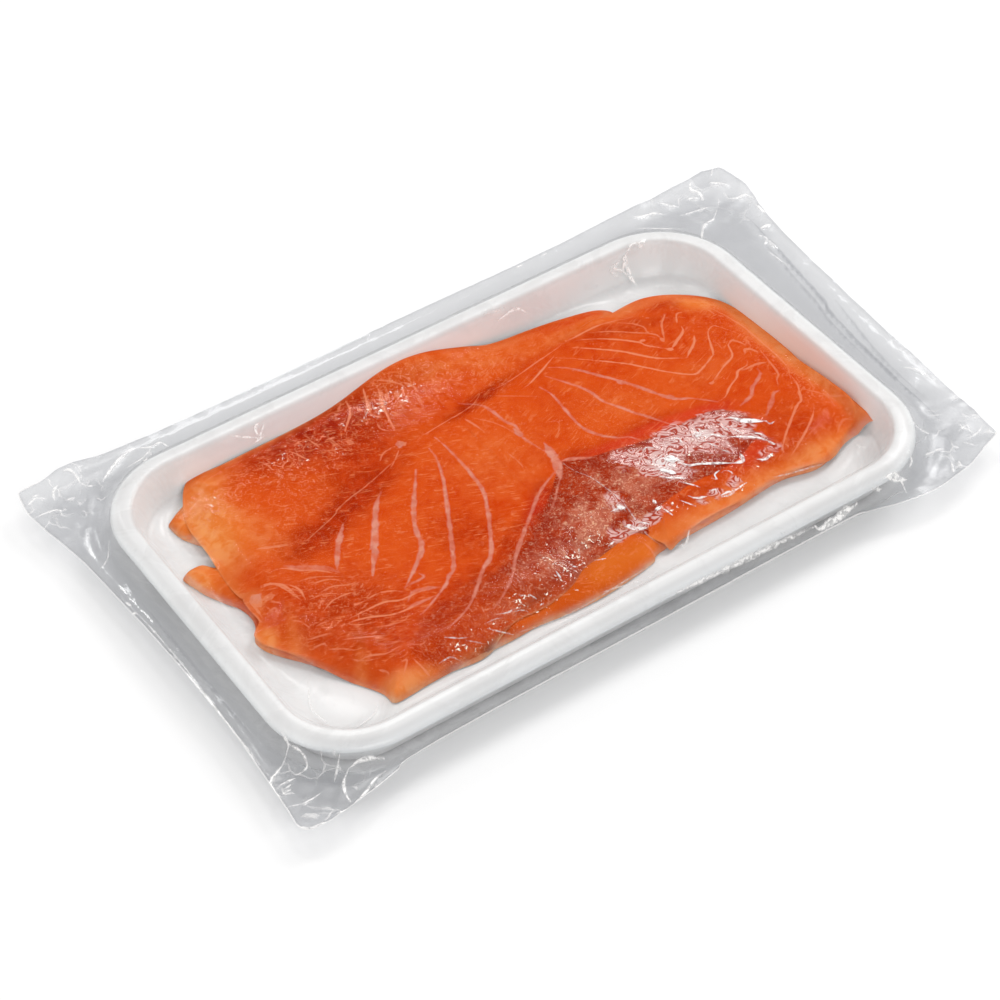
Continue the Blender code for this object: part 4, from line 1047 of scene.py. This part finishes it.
# painted highlights: white lines where the film is sharply creased or sealed: width, strength, then points
filmHighlightLines = (
    (1.4, 1, 61.5, -15.5, 63.5, -18.5, 66, -21, 69, -23), (0.6, 0.9, 69, -23, 69, -24.5, 70.5, -24.5),
    (0.9, 1, 52.5, -17.5, 56, -21.5), (0.5, 0.9, 56, -21.5, 62, -26, 64, -28.5, 65.5, -31.5),
    (0.5, 0.8, 62.5, -24.5, 64, -25.5, 65, -27.5), (0.6, 0.9, 64.5, -29.5, 65, -31.5),
    (2.2, 1, 37, -18.5, 38.5, -19.5, 40, -21.5), (1, 0.9, 39.5, -22, 41, -24.5, 44, -26, 51.5, -31),
    (0.9, 0.9, 51.5, -31, 54, -31.5, 55, -30, 55, -29), (2.2, 0.8, 49.5, -15.5, 51, -16.5),
    (1.7, 1, 33.5, -21, 36, -25), (0.7, 0.9, 31.5, -22.5, 33, -24.5, 37.5, -28.5),
    (0.6, 0.8, 35, -28, 38.5, -33), (0.6, 0.9, 58, -33, 60, -34, 63, -33.5),
    (0.5, 0.9, 41.5, -37.5, 44.5, -37.5, 46, -38, 51, -37.5), (0.4, 0.8, 42, -38, 45, -38.5, 47, -38),
    (0.5, 0.8, 34, -33.5, 35.5, -35, 38.5, -36), (0.4, 0.8, 40, -35, 42, -35.5, 41, -36.5),
    (0.8, 1, 25, -29.5, 25, -31), (0.9, 1, 23.5, -32.5, 25.5, -33), (0.5, 0.9, 25.5, -34, 26.5, -36.5),
    (0.4, 0.8, 31, -33.5, 34, -37), (0.5, 0.9, 43, -32, 44, -33, 44.5, -31.5, 46.5, -31),
    (0.35, 0.7, 46.5, -32, 48, -32, 49, -33.5, 47.5, -34.5), (0.4, 0.7, 33.5, -13, 35.5, -12, 38, -13.5),
    (0.4, 0.7, 43, -13.5, 45, -14, 44.5, -17), (0.6, 0.9, 17.5, -32, 20, -35), (1.5, 0.9, 15, -31.5, 16, -33),
    (1.2, 0.9, 16, -25.5, 17, -27), (0.35, 0.7, 57, -15, 58.5, -20.5), (0.35, 0.7, 58.5, -16.5, 60.5, -23),
    (0.35, 0.7, 50, -19, 52, -25.5), (0.35, 0.7, 51.5, -24, 53.5, -28),
    (0.3, 0.4, 13.5, -3.5, 14.5, -8, 16.5, -12.5, 17.5, -19, 18, -25.5, 17.5, -36, 18.5, -42),
    (0.5, 1, 13.5, -26, 17, -26.5, 17, -28), (0.9, 0.8, 14, -31.5, 16, -33.5, 19, -35.5),
    (0.5, 0.9, 6.5, -34.5, 9, -34), (0.4, 0.8, 0.5, -36.5, 3.5, -37.5), (0.5, 0.8, -6, -35.5, -5, -36),
    (0.4, 0.7, -21.5, -37.5, -20.5, -39.5), (0.3, 0.6, -24, -36.5, -22, -38),
    (0.4, 0.8, -20.5, -41.5, -19.5, -41.5), (0.5, 0.7, -11, -35, -11, -37.5),
    (0.3, 0.6, -32.5, -38.5, -25.5, -40.5, -24.5, -42.5), (0.3, 0.6, -29, -39, -25.5, -39.5),
    (0.3, 0.6, -48.5, -38, -45.5, -40, -43, -41), (0.3, 0.6, -44, -41.5, -40, -44),
    (0.35, 0.6, -53.5, -43, -50, -43, -48, -45), (0.3, 0.6, -37, -41, -31.5, -45),
    (0.3, 0.5, -37, -39.5, -33.5, -39.5, -31.5, -40), (0.25, 0.5, -29.5, -45, -12, -47, 16.5, -45),
    (0.5, 1, -57, 56.5, -50, 54), (0.9, 1, -48.5, 56.5, -50, 56, -50, 54.5), (0.5, 0.8, -47, 56, -50, 54),
    (0.35, 0.9, -52, 53.5, -48.5, 54), (0.45, 0.9, 31, 55, 38, 55.5, 41, 54),
    (0.4, 0.6, 27.5, 57, 32, 56.5, 34.5, 56.5), (1, 1, 77.5, 56, 75, 54),
    (1, 1, 77.5, 56, 77, 52.5, 77.5, 50.5), (1.6, 1, 77, 55, 76.5, 53), (0.6, 0.9, 81, 57, 77.5, 56),
    (0.6, 0.8, 80.5, 57, 82, 56.5, 82, 55.5), (1.1, 1, 85, 56, 82, 55.5), (0.4, 0.9, 75, 55.5, 71, 55),
    (0.4, 0.9, 71.5, 55, 75, 54, 77, 51), (0.4, 0.8, 71, 55, 73, 53.5), (0.6, 0.9, 51.5, 76, 54, 76),
    (0.45, 0.6, 60.5, 76, 63, 76), (0.4, 0.5, 49.5, 69.5, 51, 70),
    (0.4, 0.6, -109.5, 27.5, -108.5, -2, -109, -55), (0.7, 0.9, -109.5, 24, -109, 22),
    (0.7, 0.9, -110, 19.5, -109, 18), (0.6, 0.9, -109, 10, -108.5, 9), (0.7, 0.9, -109, -1, -108.5, -3),
    (0.7, 0.9, -109.5, -9.5, -109, -11), (0.45, 0.7, -109, 39.5, -106, 40.5, -103.5, 43.5),
    (0.4, 0.9, 7.5, -63.5, 53, -64), (0.75, 1, 53.5, -64, 56, -64.5, 68, -64), (0.6, 0.9, 78, -63, 85.5, -64),
    (0.45, 0.8, 73.5, -63.5, 76.5, -64), (0.5, 0.6, 115.5, -26, 118.5, -29.5, 119.5, -34.5),
    (0.4, 0.4, -4, -46, 8.5, -48, 13.5, -48), (0.6, 0.6, 22, -44, 25, -44.5, 28, -42),
    (0.4, 0.4, 59, -39.5, 74, -43), (0.45, 0.8, 86.5, -41.5, 87, -43),
    (0.45, 0.5, -83, -46.5, -76, -45.5, -72.5, -43), (0.45, 0.4, -83.5, -26, -87.5, -35, -86, -43),
)
seams = (                                          # darker lines where the film is sealed or doubled
    (1, 0.9, 121, 55, 121, 47.5, 116, 12, 114, 4, 111.5, -21, 110, -50),
    (0.8, 0.6, 118.5, 44, 113.5, 11, 111.5, 2, 109.5, -18), (0.8, 0.6, 118.5, 8, 113.5, -20, 112.5, -40),
    (0.7, 0.5, -106.5, 20, -106, -36), (0.8, 0.5, -20, -64, 50, -65),
)


def foldSum(x, y, folds, seed):
    return sum(height * (foldWaves(x, y, length, turn, warp, seed + i) - 0.5)
               for i, (height, length, turn, warp) in enumerate(folds))


def drawCreases(x, y, creases):
    raised = np.zeros(len(x))
    for height, width, *points in creases:
        line = smoothCurve(points, 0.4)
        near = besideLine(x, y, line, 4 * width)
        if not len(near):
            continue
        away, share = nearestOn(line, x[near], y[near])
        taper = np.minimum(1, 3.0 * np.minimum(share, 1 - share) + 0.1)
        raised[near] += height * taper * np.exp(-away / width)
    return raised


class Raster:                                      # a height map over the tray, read between its points
    def __init__(self, step):
        self.step = step
        self.low = trayLow[:2] - 4
        counts = np.ceil((trayHigh[:2] + 4 - self.low) / step).astype(int) + 1
        sides = [self.low[k] + step * np.arange(counts[k]) for k in (0, 1)]
        self.x, self.y = np.meshgrid(*sides, indexing="ij")

    def read(self, grid, x, y):
        u = np.clip((x - self.low[0]) / self.step, 0, grid.shape[0] - 1.001)
        v = np.clip((y - self.low[1]) / self.step, 0, grid.shape[1] - 1.001)
        iu, iv = u.astype(int), v.astype(int)
        fu, fv = u - iu, v - iv
        low = mix(grid[iu, iv], grid[iu + 1, iv], fu)
        return mix(low, mix(grid[iu, iv + 1], grid[iu + 1, iv + 1], fu), fv)


def clungHeight(raster):                           # the film drawn down on tray and fish, spanning hollows
    x, y = raster.x.ravel(), raster.y.ravel()
    solid = trayTop(rimInset(x, y))
    over = np.zeros(len(x))
    underDepth = insideDepth(outlines["under_slice"][::2], x, y)
    upperDepth = insideDepth(upperOutline[::2], x, y)
    heights = underTop(np.maximum(underDepth, 1e-6)), upperTop(x, y, upperBottom(x, y))
    for depth, height in zip((underDepth, upperDepth), heights):
        solid = np.where(depth > 0, np.maximum(solid, height), solid)
        over = np.maximum(over, ease(0.5 + depth / 2))
    solid = solid.reshape(raster.x.shape) + film["clearance"]
    wide = solid.copy()                            # the highest of each point and its neighbours
    for axis in (0, 1):
        wide = np.maximum(wide, np.maximum(np.roll(wide, 1, axis), np.roll(wide, -1, axis)))
    solid = wide
    z = solid.copy()
    for _ in range(film["bridging"]):
        z[1:-1, 1:-1] = 0.25 * (z[:-2, 1:-1] + z[2:, 1:-1] + z[1:-1, :-2] + z[1:-1, 2:])
        z = np.maximum(z, solid)
    return z, over.reshape(raster.x.shape)


def evenRing(ring, step):
    closed = np.vstack([ring, ring[:1]])
    along = np.concatenate([[0], np.cumsum(np.hypot(*np.diff(closed, axis=0).T))])
    at = np.arange(0, along[-1], step)
    return np.stack([np.interp(at, along, closed[:, k]) for k in (0, 1)], axis=1)


def linePoints(strokes):                           # mesh points on and beside drawn lines keep them crisp
    found = []
    for width, _, *points in strokes:
        line = smoothCurve(points, 0.5)
        ahead = np.gradient(line, axis=0)
        side = np.stack([-ahead[:, 1], ahead[:, 0]], axis=1) / np.maximum(np.hypot(*ahead.T), 1e-9)[:, None]
        found += [line, line + side * (0.35 + 0.3 * width), line - side * (0.35 + 0.3 * width)]
    return np.vstack(found)


def earShare(x, y):
    share = np.zeros(len(x))
    for ex, ey, size in film["ears"]:
        share = np.maximum(share, np.exp(-(((x - ex) ** 2 + (y - ey) ** 2) / size ** 2) ** 1.3))
    return share


def filmTop(x, y, inset, edge, raster, clung, over):
    out = np.maximum(-inset, 0)
    reach = out + np.maximum(edge, 0)
    ear = earShare(x, y)
    free = ease(out / 3.0)
    border = film["borderHeight"] + free * (0.6 * np.sin(0.05 * x + 0.8) * np.cos(0.07 * y))
    border = border + free * ear * foldSum(x, y, film["earFolds"], 40)
    border = border + free * (1 - ear) * foldSum(x, y, film["borderFolds"], 50)
    border = border + free * drawCreases(x, y, raisedLines)
    crest = trayTop(np.zeros(1))[0] + film["clearance"]
    skirt = np.clip(0.3 * reach, 1.0, 3.2)
    outer = border + (crest - border) * np.exp(-(out / skirt) ** 1.5)
    inner = raster.read(clung, x, y)
    onFish = raster.read(over, x, y)
    inner = inner + onFish * np.maximum(foldSum(x, y, film["fishFolds"], 60), 0)
    inner = inner + wrinkledShare(x, y) * np.maximum(0.1 + foldSum(x, y, film["skinFolds"], 80), 0)
    inner = inner + (1 - onFish) * np.maximum(foldSum(x, y, film["trayFolds"], 70), 0)
    inner = inner + drawCreases(x, y, trayCreases)
    return np.where(inset > 0, inner, outer), ear, onFish


def filmUnder(x, y, inset, edge, top):
    out = np.maximum(-inset, 0)
    inner = np.interp(inset, (-8, -2, 0, 2.2, 6.3, 7.4), (5.7, 5.2, 4.2, 2.6, 0.15, film["underTray"]))
    outer = top - film["layers"] * ease(edge / 2.5)
    return np.minimum(mix(inner, outer, np.maximum(ease(out / 6), 1 - ease(edge / 1.5))), top - 0.05)


def wrinkledShare(x, y):                           # where the film lies crumpled over the silvery skin
    depth = insideDepth(smoothCurve(silverOutline, 1.0, closed=True), x, y)
    return ease(0.5 + depth / 2.5)


def filmPaint():
    paint = Paint("clear film")
    x = paint.place
    crumple, knurl, frost = paint.mask("crumple"), paint.mask("knurl"), paint.mask("frost")
    fine = paint.noise(260.0, 2.0, 0.55)
    crisp = paint.noise(900.0, 2.0, 0.6)
    bands = {"wave_type": "BANDS", "bands_direction": "DIAGONAL"}
    dimple = paint.node("ShaderNodeTexWave", bands, {"Vector": x, "Scale": 260.0}, 1)
    across = paint.node("ShaderNodeTexWave", bands, {"Vector": x * (1.0, -1.0, 1.0), "Scale": 260.0}, 1)
    border, fish, wrinkled = paint.mask("border"), paint.mask("fish"), paint.mask("wrinkled")
    sparkle = paint.mask("sparkle")
    height = crisp * (0.015 + 0.02 * crumple * border + sparkle * 0.28 + wrinkled * 0.3)
    height = fine * (0.04 + border * 0.12) + height
    height = height + dimple * across * knurl * 0.06
    normal = paint.bump(height, 1.0, 0.0005)
    facing = paint.node("ShaderNodeLayerWeight", {}, {"Blend": 0.5, "Normal": normal}, 1)
    share = film["mirror"]
    head = share["tray"] + border * (share["border"] - share["tray"]) + fish * (share["fish"] - share["tray"])
    head = head + wrinkled * share["wrinkled"] + sparkle * 0.01 - border * crumple * 0.022
    mirror = head + (0.12 + 0.75 * border) * facing ** 5.0
    clung = paint.node("ShaderNodeBsdfTransparent", {}, {"Color": film["clungTint"]})
    loose = paint.node("ShaderNodeBsdfTransparent", {}, {"Color": film["borderTint"]})
    dusk = paint.node("ShaderNodeBsdfTransparent", {}, {"Color": film["seamAndShadeTint"]})
    bent = x + paint.noise(120.0, 2.0) * 0.006
    # painted shade: each crumpled facet of the ears darkened by its own random amount
    facetShade = paint.node("ShaderNodeTexVoronoi", {"feature": "F1"}, {"Vector": bent, "Scale": 120.0}, 1)
    facetShade = paint.node("ShaderNodeSeparateColor", {}, {"Color": facetShade})
    # painted highlights: white lines along some cell edges in the crumpled ears
    crinkleHighlight = paint.spread(paint.cells(120.0, "DISTANCE_TO_EDGE", bent), 0.0, 0.035, 1.0, 0.0)
    crinkleHighlight = crinkleHighlight * paint.spread(paint.noise(170.0, 2.0), 0.46, 0.58)
    crinkleHighlight = crinkleHighlight * border * paint.spread(crumple, 0.4, 0.8)
    # painted shade: the film below the near rim and the ear facets darkened with the seams' tint
    dim = paint.mask("shade") + border * crumple * (0.02 + 0.4 * facetShade) + paint.mask("hem") * 0.5
    clear = paint.node("ShaderNodeMixShader", {}, {0: border, 1: clung, 2: loose})
    dim = paint.line("seams", 0.12) * paint.mask("seamPower") + dim
    clear = paint.node("ShaderNodeMixShader", {}, {0: dim, 1: clear, 2: dusk})
    milky = paint.node("ShaderNodeBsdfDiffuse", {}, {"Color": film["frostColour"], "Normal": normal})
    body = paint.node("ShaderNodeMixShader", {}, {0: frost * 0.2, 1: clear, 2: milky})
    onTray = (1 - border) * (1 - fish)
    # painted shade: darker grey streaks standing for soft film folds over the tray
    foldShadeStreaks = paint.spread(paint.noise(70.0, 3.0, 0.55, 1.4), 0.44, 0.62)
    trayFoldShade = paint.node("ShaderNodeBsdfDiffuse", {}, {"Color": film["trayFoldShade"]})
    body = paint.node("ShaderNodeMixShader", {}, {0: onTray * (0.04 + 0.12 * foldShadeStreaks), 1: body, 2: trayFoldShade})
    # painted highlights: white lines drawn on the film along creases, its edge and the ear cells
    white = paint.node("ShaderNodeBsdfDiffuse", {}, {"Color": film["highlightColour"]})
    broken = paint.spread(paint.noise(800.0, 2.0, 0.6), 0.4, 0.55, 0.35, 1.0)
    drawn = paint.line("lines", 0.08, 0.1) * paint.mask("linePower") * broken
    drawn = drawn + paint.line("lip", 0.05, 0.05) * 0.6 + crinkleHighlight * 0.4
    glints = paint.spread(paint.noise(1100.0, 2.0, 0.6, 0.6) + (sparkle - 1) * 0.14, 0.58, 0.62)
    glints = glints * paint.spread(paint.noise(240.0, 1.0), 0.48, 0.54) * paint.spread(sparkle, 0.1, 0.3)
    warm = paint.node("ShaderNodeBsdfDiffuse", {}, {"Color": film["glintColour"]})
    body = paint.node("ShaderNodeMixShader", {}, {0: glints, 1: body, 2: warm})
    body = paint.node("ShaderNodeMixShader", {}, {0: drawn * 0.85, 1: body, 2: white})
    rough = film["roughness"]
    spread = rough["tray"] + border * (rough["border"] - rough["tray"])
    spread = spread + fish * (rough["fish"] - rough["tray"])
    spread = spread + border * crumple * (rough["ear"] - rough["border"])
    sockets = {"Color": (1.0, 1.0, 1.0), "Roughness": spread, "Normal": normal}
    gloss = paint.node("ShaderNodeBsdfGlossy", {}, sockets)
    return paint.finish(paint.node("ShaderNodeMixShader", {}, {0: mirror, 1: body, 2: gloss}))


def makeFilm():
    outline = smoothCurve(film["outline"], film["step"], closed=True)
    raster = Raster(0.6)
    clung, over = clungHeight(raster)
    rings = np.vstack([evenRing(trayRing(inset), 1.0) for inset in film["ringInsets"]])
    rings = rings[insideDepth(outline, rings[:, 0], rings[:, 1]) > 0.4]
    grid = gridPoints(outline, film["step"], 0.5, 9)
    inset = rimInset(grid[:, 0], grid[:, 1])
    close = gridPoints(outline, film["fineStep"], 0.5, 12)
    closeInset = rimInset(close[:, 0], close[:, 1])
    out, deep = film["rimBand"]
    inEar = (earShare(close[:, 0], close[:, 1]) > film["earMesh"]) & (closeInset < out)
    inSkin = wrinkledShare(close[:, 0], close[:, 1]) > film["skinMesh"]
    coarse = (earShare(grid[:, 0], grid[:, 1]) <= film["earMesh"]) & (inset < out)
    flat = (wrinkledShare(grid[:, 0], grid[:, 1]) <= film["skinMesh"]) & (inset > deep)
    pressed = linePoints((*filmHighlightLines, *earHighlightLines, *seams))
    pressed = pressed[insideDepth(outline, pressed[:, 0], pressed[:, 1]) > 0.35]
    edges = np.vstack(insetRings(outline, (0.3, 0.7, 1.2, 1.8)))
    beside = (-1.1, -0.6, -0.2, 0.3)
    fishEdges = np.vstack(insetRings(outlines["under_slice"], beside) + insetRings(upperOutline, beside))
    topExtra = np.vstack([rings, grid[coarse | flat], close[inEar | inSkin], pressed, edges, fishEdges])
    low = gridPoints(outline, 1.2, 0.6, 10)
    inset = rimInset(low[:, 0], low[:, 1])
    lowExtra = low[(inset < 9) | (np.arange(len(low)) % 19 == 0)]
    plan, isTop, faces = closedSheet(outline, topExtra, lowExtra)
    x, y = plan[:, 0], plan[:, 1]
    inset, edge = rimInset(x, y), insideDepth(outline, x, y)
    edge[:len(outline)] = 0
    top, ear, onFish = filmTop(x, y, inset, edge, raster, clung, over)
    z = np.where(isTop, top, filmUnder(x, y, inset, edge, top))
    right = ease((x - 96) / 8)
    band = ease((edge - 2.0) / 0.6) * ease((8.2 - edge) / 0.6) * right
    tips = ease((2.6 - np.abs(edge - 2.4)) / 0.8) * ease((ear - 0.35) / 0.2)
    masks = {
        "crumple": np.where(inset > 0, 0.12 + 0.25 * onFish, 0.12 + 0.88 * ear),
        "knurl": np.maximum(band, tips) * (inset < 0),
        "frost": np.clip(0.4 * drawCreases(x, y, raisedLines) + 0.12 * band * (inset < 0), 0, 1),
        "border": ease(0.5 - inset / 1.2),
        "fish": onFish,
        "wrinkled": wrinkledShare(x, y),
        "sparkle": onFish * drawBlobs(x, y, film["sparkles"]),
    }
    # painted highlights: the white lines drawn on the film
    masks["lines"], masks["linePower"] = drawStrokes(x, y, (*filmHighlightLines, *earHighlightLines), 21)
    masks["seams"], masks["seamPower"] = drawStrokes(x, y, seams, 22)
    openSide = np.maximum(ease((-60 - y) / 3), ease((-104 - x) / 3))
    out = np.maximum(-inset, 0)
    masks["shade"] = 0.3 * ease((-48 - y) / 10) * ease((3.0 - inset) / 1.4) * np.exp(-(out / 0.8) ** 2)
    masks["hem"] = np.exp(-((edge - 0.35) / 0.35) ** 2)
    # painted highlight: a white line along the film's edge on the open sides
    masks["lip"] = np.clip(0.5 + (0.28 * openSide - 0.2 * (1 - openSide) - edge) / (2 * lineReach), 0, 1)
    piece = buildPiece("clear_film", np.column_stack([plan, z]), faces, filmPaint(), masks)
    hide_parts("bag")


makeFilm()
print("film made")
